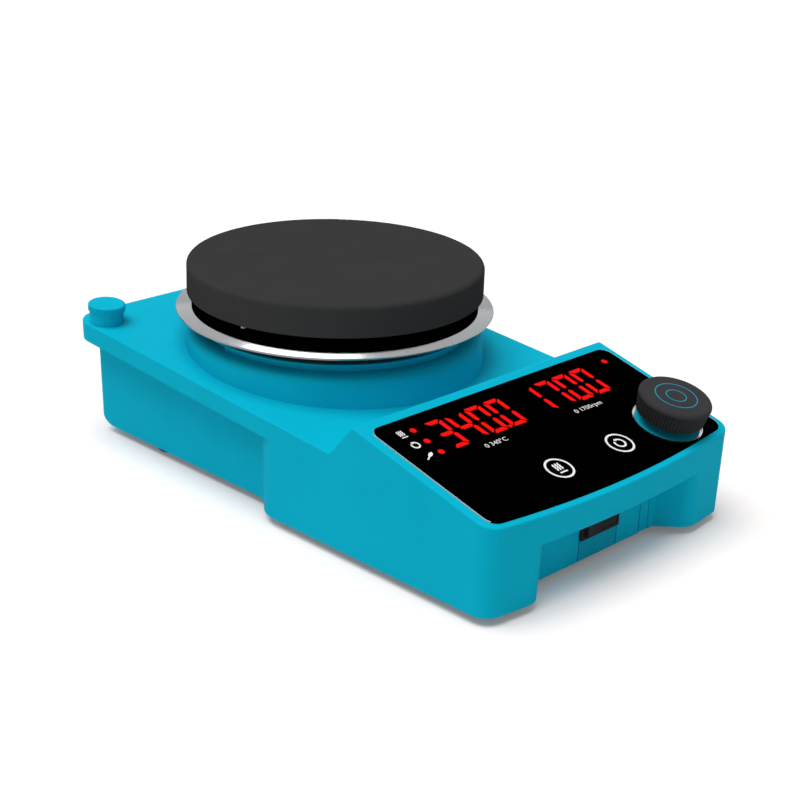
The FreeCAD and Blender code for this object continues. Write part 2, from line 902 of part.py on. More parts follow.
def screw(length):
    """Pan-head screw pointing down, its head resting on height 0."""
    head = turned([
        (0, 0, 0), (screw_head_radius, 0, 0), (screw_head_radius, screw_head_height, 0.8),
        (0, screw_head_height, 0)])
    slots = [box(-screw_head_radius * 0.6, screw_head_radius * 0.6, -screw_slot / 2, screw_slot / 2,
                 screw_head_height / 2, 2 * screw_head_height)]
    slots.append(slots[0].copy())
    slots[1].rotate(vec(0, 0, 0), vec(0, 0, 1), 90)
    return cut(head.fuse(rod(screw_radius, -length, 0)), slots)


def screws_up(length, seat, places):
    """Screws driven upwards, their heads under a seat."""
    group = []
    for x, y in places:
        one = screw(length)
        one.rotate(vec(0, 0, 0), vec(1, 0, 0), 180)
        one.translate(vec(x, y, seat))
        group.append(one)
    return group


def board_screws():
    """Screws of both boards: the control board's from below, the power board's from above."""
    group = [on_panel(one) for one in
             screws_up(board_screw_length, board_top - board_thickness, [(x, -y) for x, y in control_posts])]
    top = base_top + power_board_rise + board_thickness
    for x, y in power_posts():
        one = screw(board_screw_length)
        one.translate(vec(x, y, top))
        group.append(one)
    return Part.Compound(group)


def hot_plate():
    """Round plate, its top edge rounded, with a pocket below for the heater."""
    body = turned([
        (0, pocket_top, 0), (plate_pocket_radius, pocket_top, 0), (plate_pocket_radius, plate_bottom, 0),
        (plate_radius, plate_bottom, 0.4), (plate_radius, plate_top, plate_fillet), (0, plate_top, 0),
    ], 0, plate_y)
    depth = (plate_thickness - plate_pocket_depth) / 2
    return cut(body, [rod(screw_radius, pocket_top, pocket_top + depth, x, y) for x, y in pillar_places()])


def stack_ring(outer, inner, z0, z1):
    """Flat ring on the plate's axis, drilled for the plate's long screws."""
    ring = tube(outer, inner, z0, z1, 0, plate_y) if inner else rod(outer, z0, z1, 0, plate_y)
    return cut(ring, [rod(screw_radius + seam_gap, z0 - 1, z1 + 1, x, y) for x, y in pillar_places()])


def plate_sensor():
    """Temperature sensor held against the middle of the plate."""
    return turned([
        (0, insulation_bottom, 0), (sensor_radius, insulation_bottom, 0), (sensor_radius, heater_bottom, 0),
        (sensor_radius - 3, heater_bottom, 0), (sensor_radius - 3, pocket_top, 0), (0, pocket_top, 0),
    ], 0, plate_y)


def plate_pillars():
    """Ceramic pillars between the heat shield and the plate's clamp."""
    pillars = [tube(pillar_radius, screw_radius + seam_gap, shield_top, clamp_bottom, x, y)
               for x, y in pillar_places()]
    return Part.Compound(pillars)


def plate_screws():
    """Long screws from inside the collar up into the plate."""
    length = pocket_top + (plate_thickness - plate_pocket_depth) / 2 - roof_bottom
    return Part.Compound(screws_up(length, roof_bottom, pillar_places()))


def safety_sensor():
    """Ceramic bead of the overheat sensor, under the plate's rim."""
    turn = math.radians(bead_angle)
    x = bead_distance * math.cos(turn)
    y = plate_y + bead_distance * math.sin(turn)
    return turned([
        (0, plate_bottom - bead_height, 0), (bead_radius, plate_bottom - bead_height, bead_radius / 2),
        (bead_radius, plate_bottom, 0), (0, plate_bottom, 0),
    ], x, y)


def drip_ring():
    """Polished ring that sheds spills outside the collar."""
    return turned([
        (ring_bore_radius, ring_bottom, 0), (ring_radius, ring_bottom, 0.3),
        (ring_radius, shield_bottom, 0.3), (ring_bore_radius, shield_bottom, 0),
    ], 0, plate_y)


def panel_glass():
    """Black glass over the displays and keys, pierced for the knob."""
    glass = prism(glass_wire(0), glass_bottom, glass_proud)
    return on_panel(glass.cut(rod(knob_hole_radius, -5, 5, knob_x, -knob_along)))


def bezel_ring():
    """Polished ring round the knob's hole in the glass, sloping inwards."""
    outer = knob_hole_radius - seam_gap
    return on_panel(turned([
        (outer - bezel_width, 0, 0), (outer, 0, 0), (outer, bezel_height, 0),
        (outer - bezel_lip, bezel_height, 0), (outer - bezel_width, bezel_lip, 0)], knob_x, -knob_along))


def control_board():
    """Board under the panel that carries the displays, the keys and the encoder."""
    low = board_top - board_thickness
    board = box(-control_board_half_width, control_board_half_width,
                -control_board_end, -control_board_start, low, board_top)
    holes = [rod(screw_radius + seam_gap, low - 1, board_top + 1, x, -y) for x, y in control_posts]
    return on_panel(cut(board, holes))


def display(x):
    """Four-digit display block standing on the control board."""
    return on_panel(box(x - display_width / 2, x + display_width / 2,
                        -display_along - display_length / 2, -display_along + display_length / 2,
                        board_top, glass_bottom))


def indicator_leds():
    """Three indicator lamps in a row and one power lamp."""
    lamps = []
    places = [(indicator_x, display_along + indicator_pitch * (i - 1)) for i in range(indicator_count)]
    places.append((power_lamp_x, power_lamp_along))
    for x, along in places:
        lamps.append(on_panel(turned([
            (0, board_top, 0), (lamp_radius, board_top, 0), (lamp_radius, glass_bottom, 1.0),
            (0, glass_bottom, 0)], x, -along)))
    return Part.Compound(lamps)


def touch_sensors():
    """Conductive pads between the board and the glass, one for each key."""
    pads = [on_panel(tube(key_pad_radius, key_pad_radius / 2, board_top, glass_bottom, x, -key_along))
            for x in (-key_x, key_x)]
    return Part.Compound(pads)


def encoder_body():
    """Rotary encoder on the board, its bushing through the panel."""
    half = encoder_side / 2
    top = board_top + encoder_height
    block = box(knob_x - half, knob_x + half, -knob_along - half, -knob_along + half, board_top, top)
    bushing = rod(bushing_radius, top, bushing_height, knob_x, -knob_along)
    bore = rod(encoder_shaft_radius + running_gap, board_top + knob_travel, bushing_height + 1,
               knob_x, -knob_along)
    room = rod(encoder_rotor_radius + running_gap, rotor_low - running_gap,
               rotor_low + encoder_rotor_height + running_gap, knob_x, -knob_along)
    return on_panel(block.fuse(bushing).cut(bore).cut(room))


def encoder_nut():
    """Six-sided nut that clamps the encoder to the panel."""
    points = []
    for i in range(7):
        turn = math.radians(60 * i)
        points.append(vec(knob_x + encoder_nut_radius * math.cos(turn),
                          -knob_along + encoder_nut_radius * math.sin(turn)))
    nut = prism(Part.makePolygon(points), 0, encoder_nut_height)
    return on_panel(nut.cut(rod(bushing_radius, -1, 5, knob_x, -knob_along)))


def encoder_rotor():
    """Contact ring inside the encoder that turns with the shaft."""
    return on_panel(tube(encoder_rotor_radius, encoder_shaft_radius + running_gap, rotor_low,
                         rotor_low + encoder_rotor_height, knob_x, -knob_along))


def encoder_shaft():
    """Shaft that the knob sits on, with room below it to be pushed."""
    low = board_top + 2 * knob_travel
    top = knob_gap + knob_recess_depth + knob_bore_depth - 1.0
    shaft = rod(encoder_shaft_radius, low, top, knob_x, -knob_along)
    half = 2 * encoder_shaft_radius
    flat = box(knob_x - half, knob_x + half, -knob_along + encoder_shaft_radius - shaft_flat_depth,
               -knob_along + half, bushing_height + knob_gap / 2, top + 1)
    return on_panel(shaft.cut(flat))


def knob():
    """Knob: ribbed skirt that widens upwards, flat top with a rounded edge, hollow foot."""
    low = knob_gap
    skirt_top = knob_gap + knob_skirt
    wires = []
    for radius, height in ((knob_foot_radius, low), (knob_radius, skirt_top)):
        wire = toothed_wire(radius, knob_rib_count, knob_rib_depth, 0.3)
        wire.translate(vec(0, 0, height))
        wires.append(wire)
    skirt = Part.makeLoft(wires, True, True)
    top = knob_gap + knob_height
    crown = turned([(0, skirt_top, 0), (knob_radius, skirt_top, 0), (knob_radius, top, knob_edge_radius),
                    (0, top, 0)])
    body = skirt.fuse(crown)
    body = body.cut(rod(knob_recess_radius, low - 1, low + knob_recess_depth))
    bore = rod(encoder_shaft_radius, low, low + knob_recess_depth + knob_bore_depth)
    half = 2 * encoder_shaft_radius
    flat = box(-half, half, encoder_shaft_radius - shaft_flat_depth, half,
               low, low + knob_recess_depth + knob_bore_depth)
    body = body.cut(bore.cut(flat))
    body.translate(vec(knob_x, -knob_along, 0))
    return on_panel(body)


def motor_bracket():
    """Cross-shaped plate that hangs the motor from the deck."""
    reach = math.hypot(bracket_screw_x, bracket_screw_distance)
    angle = math.degrees(math.atan2(bracket_screw_distance, bracket_screw_x))
    half = bracket_arm_width / 2
    arm = prism(rounded_wire([
        (-reach - half, -half, half - 0.01), (reach + half, -half, half - 0.01),
        (reach + half, half, half - 0.01), (-reach - half, half, half - 0.01)]), bracket_bottom, bracket_top)
    other = arm.copy()
    arm.rotate(vec(0, 0, 0), vec(0, 0, 1), angle)
    other.rotate(vec(0, 0, 0), vec(0, 0, 1), -angle)
    disc = rod(bracket_disc_radius, bracket_bottom, bracket_top)
    hub = rod(hub_radius, upper_bearing - motor_skin, bracket_top)
    body = fuse([disc, arm, other, hub])
    body.translate(vec(0, plate_y, 0))
    holes = [rod(screw_radius + seam_gap, bracket_bottom - 1, bracket_top + 1, x, y)
             for x, y in bracket_places()]
    holes.append(rod(bearing_radius, upper_bearing, bracket_top + 1, 0, plate_y))
    holes.append(rod(shaft_shoulder + 1, can_bottom, bracket_top, 0, plate_y))
    return cut(body, holes)


def motor_can():
    """Motor's cup, with a seat for the lower bearing."""
    wall_inner = motor_radius - motor_skin
    floor = can_bottom + motor_skin
    seat = lower_bearing + bearing_width
    return turned([
        (0, can_bottom, 0), (motor_radius, can_bottom, 1.0), (motor_radius, bracket_bottom, 0),
        (wall_inner, bracket_bottom, 0), (wall_inner, floor, 0), (hub_radius, floor, 0),
        (hub_radius, seat, 0), (bearing_radius, seat, 0), (bearing_radius, lower_bearing, 0),
        (0, lower_bearing, 0)], 0, plate_y)


def motor_stator():
    """Wound ring inside the motor's cup."""
    low = stator_low
    outer = motor_radius - motor_skin
    inner = rotor_core_radius + rotor_gap
    ring = tube(outer, inner, low, low + stator_height)
    half = stator_slot_width / 2
    slot = box(inner - 1, outer - stator_slot_width, -half, half, low - 1, low + stator_height + 1)
    body = cut(ring, around(slot, stator_slots))
    body.translate(vec(0, plate_y, 0))
    return body


def motor_shaft():
    """Shaft from the lower bearing up to the magnet holder, thicker between the bearings."""
    low = lower_bearing + 0.3
    shoulder_low = lower_bearing + bearing_width + running_gap
    shoulder_top = upper_bearing - running_gap
    return turned([
        (0, low, 0), (shaft_radius, low, 0), (shaft_radius, shoulder_low, 0),
        (shaft_shoulder, shoulder_low, 0), (shaft_shoulder, shoulder_top, 0),
        (shaft_radius, shoulder_top, 0), (shaft_radius, holder_bottom + holder_thickness, 0),
        (0, holder_bottom + holder_thickness, 0)], 0, plate_y)


def magnet_places(z0, z1):
    """The magnets' blocks, on either side of the shaft."""
    half = magnet_spread / 2
    blocks = []
    for x in (-half, half):
        blocks.append(box(x - magnet_width / 2, x + magnet_width / 2, plate_y - magnet_length / 2,
                          plate_y + magnet_length / 2, z0, z1))
    return blocks


def magnet_holder():
    """Aluminium disc on the shaft, with a shallow seat for each magnet."""
    top = holder_bottom + holder_thickness
    hub_low = holder_bottom - holder_hub_height
    disc = tube(holder_radius, shaft_radius, holder_bottom, top, 0, plate_y)
    hub = tube(holder_hub_radius, shaft_radius, hub_low, holder_bottom, 0, plate_y)
    return cut(disc.fuse(hub).removeSplitter(), magnet_places(magnet_bottom, magnet_top))


def switch_panel():
    """Insert in the recess wall that carries the switch, clipped behind the wall."""
    half = switch_panel_width / 2
    front = plate_y - recess_distance
    plate = box(switch_x - half, switch_x + half, front, front + wall, body_bottom, fascia_level - seam_gap)
    clip = box(switch_x - half - switch_flange, switch_x + half + switch_flange, front + wall,
               front + wall + switch_flange_thickness, base_top + plate_gap, fascia_level)
    return plate.fuse(clip).cut(switch_box(switch_body_width, switch_body_height, -5, 10)).removeSplitter()


def rocker_turn(shape):
    """Turns the rocker from its level position to rest, left end out."""
    placed = shape.copy()
    placed.rotate(vec(0, 0, 0), vec(0, 0, 1), rocker_swing)
    placed.translate(vec(switch_x, plate_y - recess_distance + rocker_axis_depth, switch_level))
    return placed


def switch_frame():
    """Switch body with a thin rim, open in front for the rocker."""
    rim = switch_box(rim_width, rim_height, -rim_proud, 0)
    body = switch_box(switch_body_width, switch_body_height, 0, switch_depth)
    room = switch_box(rocker_width + 2 * rocker_gap, rocker_height + 2 * rocker_gap,
                      -5, rocker_axis_depth + rocker_tail + 2)
    back = plate_y - recess_distance + switch_depth
    lugs = []
    for x in (-lug_spread / 2, lug_spread / 2):
        middle = switch_x + x
        lugs.append(box(middle - lug_width / 2, middle + lug_width / 2, back, back + lug_length,
                        switch_level - lug_thickness / 2, switch_level + lug_thickness / 2))
    return fuse([rim.fuse(body).cut(room)] + lugs)


def switch_rocker():
    """Rocker with a shallow V front."""
    half = rocker_width / 2 - 2 * rocker_gap
    edge = rocker_crest + half * math.tan(math.radians(rocker_swing))
    outline = rounded_wire([
        (-half, -edge, 0.3), (0, -rocker_crest, 0), (half, -edge, 0.3), (half - 0.6, 0, 0),
        (rocker_tail_half_width, rocker_tail, 1.0), (-rocker_tail_half_width, rocker_tail, 1.0),
        (-half + 0.6, 0, 0)])
    return rocker_turn(prism(outline, -rocker_height / 2, rocker_height / 2))


def mains_inlet():
    """Plain three-pin inlet: flange outside the wall, deep socket inside it."""
    flange = inlet_block(inlet_flange_edge, 0, inlet_flange_thickness)
    body = inlet_block(0, -inlet_depth, 0)
    socket = inlet_block(-inlet_shell, inlet_flange_thickness - inlet_socket_depth, 5)
    shell = flange.fuse(body).cut(socket)
    return cut(shell, [inlet_pins()])


def inlet_pins():
    """Three flat pins in the inlet, the earth pin above the other two."""
    pins = []
    for x, rise in ((-pin_spread / 2, live_pin_rise), (0, earth_pin_rise), (pin_spread / 2, live_pin_rise)):
        low = inlet_flange_thickness - inlet_socket_depth - 3
        pin = box(inlet_x + x - pin_thickness / 2, inlet_x + x + pin_thickness / 2, low,
                  low + 3 + pin_length, inlet_rise + rise - pin_width / 2, inlet_rise + rise + pin_width / 2)
        pins.append(on_rear(pin))
    return Part.Compound(pins)


def probe_socket():
    """Round socket for an outside temperature probe."""
    body = probe_rod(probe_flange_radius, 0, probe_flange_thickness)
    body = body.fuse(probe_rod(probe_body_radius, -probe_depth, 0))
    body = body.cut(probe_rod(probe_bore_radius, probe_flange_thickness - probe_bore_depth, 5))
    return cut(body, [probe_contacts()])


def probe_contacts():
    """Pins in the probe socket, in a half circle."""
    pins = []
    low = probe_flange_thickness - probe_bore_depth - 2
    for i in range(probe_pin_count):
        turn = math.radians(180 * i / (probe_pin_count - 1))
        pin = rod(probe_pin_radius, low, low + probe_bore_depth, probe_pin_circle * math.cos(turn),
                  -probe_pin_circle * math.sin(turn))
        pins.append(on_rear(backwards(pin, probe_x, inlet_rise)))
    return Part.Compound(pins)


def probe_nut():
    """Nut that holds the probe socket from inside the wall."""
    nut = probe_rod(probe_nut_radius, -wall - probe_nut_thickness, -wall)
    return nut.cut(probe_rod(probe_body_radius, -probe_depth - 1, 1))


def rod_socket():
    """Threaded steel insert for a support rod, blind at its lower end."""
    outer = socket_bore_radius + socket_wall
    insert = rod(outer, -socket_depth, 0).cut(rod(socket_bore_radius, -socket_depth + socket_floor, 1))
    return on_deck(insert)


def cap_seal():
    """Washer in the cap's underside."""
    return on_deck(tube(seal_radius, socket_bore_radius + running_gap, 0, seal_thickness))


def rod_cap():
    """Screw cap: smooth neck over the washer, knurled head, threaded stub."""
    top = cap_neck_height + cap_knurl_height
    stub = rod(socket_bore_radius - running_gap, -cap_stub_length, 2 * seal_thickness)
    neck = rod(cap_neck_radius, running_gap, cap_neck_height)
    seat = rod(seal_radius + running_gap, 0, seal_thickness + running_gap)
    head = prism(toothed_wire(cap_radius, cap_tooth_count, cap_tooth_depth, 0.4), cap_neck_height, top)
    rounder = turned([
        (0, 0, 0), (cap_radius + 1, 0, 0), (cap_radius + 1, top - 2 * cap_edge, 0),
        (cap_radius - cap_edge, top, 0), (0, top, 0)])
    return on_deck(fuse([neck.cut(seat), stub, head.common(rounder)]))


def power_board():
    """Mains board on the base plate's posts."""
    low = base_top + power_board_rise
    board = box(-power_board_half_width, power_board_half_width, plate_y + power_board_front,
                plate_y + power_board_rear, low, low + board_thickness)
    return cut(board, [rod(screw_radius + seam_gap, low - 1, low + 5, x, y) for x, y in power_posts()])


def transformer():
    """Small transformer: laminated core round a bobbin."""
    low = base_top + power_board_rise + board_thickness
    y = plate_y + (power_board_front + power_board_rear) / 2
    half = transformer_side / 2
    core = box(transformer_x - half, transformer_x + half, y - half * 0.5, y + half * 0.5,
               low, low + transformer_height)
    bobbin = box(transformer_x - half * 0.7, transformer_x + half * 0.7, y - half * 0.9, y + half * 0.9,
                 low, low + transformer_height * 0.75)
    return core.fuse(bobbin).removeSplitter()


def capacitors():
    """Two smoothing capacitors."""
    low = base_top + power_board_rise + board_thickness
    cans = []
    for x in (capacitor_x - capacitor_radius - 1, capacitor_x + capacitor_radius + 1):
        cans.append(turned([
            (0, low, 0), (capacitor_radius, low, 0), (capacitor_radius, low + capacitor_height, 0.8),
            (0, low + capacitor_height, 0)], x, plate_y + power_board_rear - 2 * capacitor_radius))
    return Part.Compound(cans)


def heater_switch():
    """Finned heat sink with the heater's power switch on it."""
    low = base_top + power_board_rise + board_thickness
    y = plate_y + power_board_front + 2 * power_post_inset
    top = low + sink_height
    face = y + sink_back_thickness
    back = box(sink_x - sink_width / 2, sink_x + sink_width / 2, y, face, low, top)
    pitch = (sink_width - sink_fin_thickness) / (sink_fins - 1)
    fins = []
    for i in range(sink_fins):
        x = sink_x - sink_width / 2 + i * pitch
        fins.append(box(x, x + sink_fin_thickness, face, face + sink_fin_reach, low, top))
    half = heater_device_width / 2
    device = box(sink_x - half, sink_x + half, y - heater_device_thickness, y,
                 low, low + heater_device_height)
    return fuse([back, device] + fins)


def main():
    os.makedirs("parts", exist_ok=True)
    export(upper_housing(), "upper_housing")
    export(base_plate(), "base_plate")
    export(rubber_feet(), "rubber_feet")
    export(Part.Compound(screws_up(base_screw_length, body_bottom, base_places())), "base_screws")
    export(hot_plate(), "hot_plate")
    export(stack_ring(heater_radius, heater_bore_radius, heater_bottom, pocket_top), "heating_element")
    export(stack_ring(heater_radius, heater_bore_radius, insulation_bottom, heater_bottom),
           "insulation_disc")
    export(stack_ring(heater_radius, 0, clamp_bottom, insulation_bottom), "heater_clamp")
    export(plate_sensor(), "plate_sensor")
    export(plate_pillars(), "plate_pillars")
    export(plate_screws(), "plate_screws")
    export(stack_ring(shield_radius, shield_bore_radius, shield_bottom, shield_top), "heat_shield")
    export(safety_sensor(), "safety_sensor")
    export(drip_ring(), "drip_ring")
    export(stack_ring(spacer_radius, spacer_bore_radius, lip_top, ring_bottom), "spacer_ring")
    export(panel_glass(), "panel_glass")
    export(bezel_ring(), "bezel_ring")
    export(control_board(), "control_board")
    export(display(temperature_display_x), "temperature_display")
    export(display(speed_display_x), "speed_display")
    export(indicator_leds(), "indicator_leds")
    export(touch_sensors(), "touch_sensors")
    export(encoder_body(), "encoder_body")
    export(encoder_nut(), "encoder_nut")
    export(encoder_rotor(), "encoder_rotor")
    export(encoder_shaft(), "encoder_shaft")
    export(knob(), "knob")
    export(motor_bracket(), "motor_bracket")
    export(Part.Compound(screws_up(bracket_screw_length, bracket_bottom, bracket_places())),
           "bracket_screws")
    export(motor_can(), "motor_can")
    export(motor_stator(), "motor_stator")
    export(tube(rotor_core_radius, shaft_shoulder, stator_low, stator_low + stator_height, 0, plate_y),
           "motor_rotor")
    export(motor_shaft(), "motor_shaft")
    bearings = [tube(bearing_radius, shaft_radius + running_gap, z, z + bearing_width, 0, plate_y)
                for z in (lower_bearing, upper_bearing)]
    export(Part.Compound(bearings), "shaft_bearings")
    export(magnet_holder(), "magnet_holder")
    export(Part.Compound(magnet_places(magnet_bottom, magnet_top)), "magnets")
    export(power_board(), "power_board")
    export(transformer(), "transformer")
    export(capacitors(), "capacitors")
    export(heater_switch(), "heater_switch")
    export(board_screws(), "board_screws")
    export(switch_panel(), "switch_panel")
    export(switch_frame(), "switch_frame")
    export(switch_rocker(), "switch_rocker")
    export(mains_inlet(), "mains_inlet")
    export(inlet_pins(), "inlet_pins")
    export(probe_socket(), "probe_socket")
    export(probe_contacts(), "probe_contacts")
    export(probe_nut(), "probe_nut")
    export(rod_socket(), "rod_socket")
    export(cap_seal(), "cap_seal")
    export(rod_cap(), "rod_cap")


main()
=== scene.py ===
import json
import math

import bmesh
import bpy
from mathutils import Matrix, Vector


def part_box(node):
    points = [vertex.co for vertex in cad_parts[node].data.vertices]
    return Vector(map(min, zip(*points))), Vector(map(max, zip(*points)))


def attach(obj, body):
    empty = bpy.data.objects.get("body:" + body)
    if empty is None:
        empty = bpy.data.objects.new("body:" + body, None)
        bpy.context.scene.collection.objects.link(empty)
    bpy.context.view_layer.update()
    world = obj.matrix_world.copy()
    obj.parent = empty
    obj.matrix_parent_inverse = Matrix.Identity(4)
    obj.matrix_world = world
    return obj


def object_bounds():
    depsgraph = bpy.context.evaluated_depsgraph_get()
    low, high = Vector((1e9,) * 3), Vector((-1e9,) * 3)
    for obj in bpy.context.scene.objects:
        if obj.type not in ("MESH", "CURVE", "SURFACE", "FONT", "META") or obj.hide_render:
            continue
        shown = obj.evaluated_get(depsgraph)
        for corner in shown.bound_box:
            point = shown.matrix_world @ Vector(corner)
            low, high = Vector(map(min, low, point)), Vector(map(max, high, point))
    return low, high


bl_info = {
    "name": "Hotplate Stirrer",
    "version": (1, 0, 0),
    "blender": (4, 5, 0),
    "location": "View3D > Sidebar > Stirrer",
    "description": "Gives the packed hotplate stirrer its finishes, print, lit digits and studio",
    "category": "Object",
}

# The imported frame. Every place below is read from it or worked out from it.
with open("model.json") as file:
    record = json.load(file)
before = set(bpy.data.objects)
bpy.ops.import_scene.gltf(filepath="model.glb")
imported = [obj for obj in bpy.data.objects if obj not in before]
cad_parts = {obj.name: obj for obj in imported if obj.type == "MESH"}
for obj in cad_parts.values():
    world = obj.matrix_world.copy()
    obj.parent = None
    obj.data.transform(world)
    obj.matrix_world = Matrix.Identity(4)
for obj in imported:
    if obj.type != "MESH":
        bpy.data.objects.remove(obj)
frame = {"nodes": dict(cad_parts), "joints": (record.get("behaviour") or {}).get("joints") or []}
cad_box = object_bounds()
nodes = frame["nodes"]
MM = 0.001


def joint(name):
    """A joint of the record."""
    return next(j for j in frame["joints"] if j["name"] == name)


plate_low, plate_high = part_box("hot_plate")
glass_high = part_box("panel_glass")[1]
insert_low, insert_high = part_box("switch_panel")
plate_axis = Vector(((plate_low.x + plate_high.x) / 2, (plate_low.y + plate_high.y) / 2, 0))
knob_point = Vector(joint("knob_turn")["pos_m"])
panel_normal = Vector(joint("knob_turn")["axis"]).normalized()
panel_up = panel_normal.cross(Vector((1, 0, 0)))
panel_turn = Matrix((Vector((1, 0, 0)), panel_up, panel_normal)).transposed()

# Where the knob's axis meets the panel, in millimetres across it and down from its rear edge
KNOB_X = 52.3
KNOB_ALONG = 60.6

# The finishes by their names, filled by the finishes operator
finish = {}

# Which of its seven segments each sign lights: "a" to "f" go clockwise from the top, and "g" is
# the middle one
SEGMENTS = {
    "0": "abcdef", "1": "bc", "2": "abged", "3": "abgcd", "4": "fgbc",
    "5": "afgcd", "6": "afgedc", "7": "abc", "8": "abcdefg", "9": "abcdfg",
}


class PanelSettings(bpy.types.PropertyGroup):
    """Sizes of what is printed on the panel or shines through it, in millimetres."""

    glass_face: bpy.props.FloatProperty(
        name="Glass face", description="Height of the glass's face above the panel, in mm",
        default=0.6, min=0.1, max=2.0)
    ink_thickness: bpy.props.FloatProperty(
        name="Ink thickness", description="Height that ink and lit segments stand proud, in mm",
        default=0.03, min=0.01, max=0.2)
    digit_height: bpy.props.FloatProperty(
        name="Digit height", description="Height of a lit digit, in mm",
        default=19.1, min=5, max=25)
    digit_width: bpy.props.FloatProperty(
        name="Digit width", description="Width of a lit digit, in mm", default=9.4, min=3, max=12)
    digit_pitch: bpy.props.FloatProperty(
        name="Digit pitch", description="From one digit to the next, in mm",
        default=11.7, min=6, max=16)
    digit_top: bpy.props.FloatProperty(
        name="Digit top", description="From the panel's rear edge to the digits' tops, in mm",
        default=12.4, min=8, max=20)
    digit_bevel: bpy.props.FloatProperty(
        name="Digit bevel", description="Cut at a digit's outer corners, in mm",
        default=0.8, min=0, max=2)
    segment_width: bpy.props.FloatProperty(
        name="Segment width", description="Width of one lit segment, in mm",
        default=2.25, min=0.5, max=3)
    segment_gap: bpy.props.FloatProperty(
        name="Segment gap", description="Dark gap between two segments, in mm",
        default=0.6, min=0.1, max=1)
    temperature_x: bpy.props.FloatProperty(
        name="Temperature digits", description="Left edge of the temperature digits, in mm",
        default=-50.4)
    speed_x: bpy.props.FloatProperty(
        name="Speed digits", description="Left edge of the speed digits, in mm", default=5.3)
    temperature: bpy.props.StringProperty(
        name="Temperature shown", description="What the left display shows", default="340.0")
    speed: bpy.props.StringProperty(
        name="Speed shown", description="What the right display shows", default="1700")
    lamp_radius: bpy.props.FloatProperty(
        name="Lamp radius", description="Radius of an indicator lamp's spot, in mm",
        default=1.5, min=0.5, max=3)
    lamp_x: bpy.props.FloatProperty(
        name="Lamp row", description="Place of the indicator lamps across the panel, in mm",
        default=-57.2)
    lamp_along: bpy.props.FloatProperty(
        name="Middle lamp", description="Place of the middle lamp down the panel, in mm",
        default=22.0)
    lamp_pitch: bpy.props.FloatProperty(
        name="Lamp pitch", description="From one indicator lamp to the next, in mm", default=8.1)
    power_x: bpy.props.FloatProperty(
        name="Power lamp", description="Place of the power lamp across the panel, in mm",
        default=64.9)
    icon_x: bpy.props.FloatProperty(
        name="Mode icons", description="Place of the mode icons across the panel, in mm",
        default=-63.7)
    key_x: bpy.props.FloatProperty(
        name="Keys", description="Place of the two keys on either side of their middle, in mm",
        default=19.5)
    key_middle: bpy.props.FloatProperty(
        name="Middle of the keys", description="Place of the keys' middle across the panel, in mm",
        default=-0.9)
    key_along: bpy.props.FloatProperty(
        name="Key row", description="Place of the keys down the panel, in mm", default=61.4)
    key_radius: bpy.props.FloatProperty(
        name="Key ring radius", description="Outer radius of a key's printed ring, in mm",
        default=6.5, min=3, max=10)
    ring_line: bpy.props.FloatProperty(
        name="Ring line", description="Width of a key ring's line, in mm",
        default=1.0, min=0.2, max=2)
    icon_line: bpy.props.FloatProperty(
        name="Icon line", description="Width of an icon's line, in mm",
        default=0.8, min=0.2, max=2)
    text_height: bpy.props.FloatProperty(
        name="Text height", description="Height of the range numbers, in mm",
        default=2.4, min=1, max=5)
    range_along: bpy.props.FloatProperty(
        name="Range row", description="Foot of the range numbers down the panel, in mm",
        default=37.2)
    edge_width: bpy.props.FloatProperty(
        name="Glass edge", description="Width of the ground edge beside the glass, in mm",
        default=0.12, min=0.05, max=1)


class FinishSettings(bpy.types.PropertyGroup):
    """Colours that an owner could choose, as sRGB hex values."""

    housing: bpy.props.StringProperty(
        name="Housing", description="Paint of the housing", default="#08B8D6")
    plate: bpy.props.StringProperty(
        name="Plate", description="Coating of the hot plate", default="#3C3C3C")
    knob: bpy.props.StringProperty(
        name="Knob", description="Plastic of the knob", default="#3B3B3D")
    light: bpy.props.StringProperty(
        name="Digits", description="Light of the digits and lamps", default="#FF1C18")


class StudioSettings(bpy.types.PropertyGroup):
    """Camera and light of the studio."""

    camera_place: bpy.props.FloatVectorProperty(
        name="Camera place", description="Place of the camera in the row frame", size=3,
        subtype="TRANSLATION", unit="LENGTH", default=(-0.514723, -0.501036, 0.320597))
    camera_turn: bpy.props.FloatVectorProperty(
        name="Camera turn", description="Turn of the camera about X, Y and Z", size=3,
        subtype="EULER",
        default=(math.radians(68.4043), math.radians(-1.847), math.radians(-45.2935)))
    focal_length: bpy.props.FloatProperty(
        name="Focal length", description="Focal length on a sensor 36 mm wide, in mm",
        default=77.118, min=20, max=200)
    sky: bpy.props.FloatProperty(
        name="Even light", description="Strength of the light from all round",
        default=0.31, min=0, max=1)
    key: bpy.props.FloatProperty(
        name="Key light", description="Strength of the soft lamp overhead",
        default=2.38, min=0, max=5)
    softness: bpy.props.FloatProperty(
        name="Softness", description="Angle that the soft lamp takes up in the sky",
        subtype="ANGLE", default=math.radians(50))


def linear(code):
    """Linear colour of an sRGB hex value."""
    channels = [int(code[i:i + 2], 16) / 255 for i in (1, 3, 5)]
    return (*(c / 12.92 if c <= 0.04045 else ((c + 0.055) / 1.055) ** 2.4 for c in channels), 1.0)


def node(tree, kind, links=None, **settings):
    """Adds a node with its settings. links gives its inputs a value or another node's output."""
    made = tree.nodes.new(kind)
    for name, value in settings.items():
        setattr(made, name, value)
    for socket, source in (links or {}).items():
        if isinstance(source, bpy.types.NodeSocket):
            tree.links.new(source, made.inputs[socket])
        else:
            made.inputs[socket].default_value = source
    return made


def start(name, **shader):
    """A material and its tree, with values that are even all over set on the shader itself."""
    made = bpy.data.materials.new(name)
    made.use_nodes = True
    inputs = made.node_tree.nodes["Principled BSDF"].inputs
    for socket, value in shader.items():
        inputs[socket.replace("_", " ")].default_value = value
    return made, made.node_tree


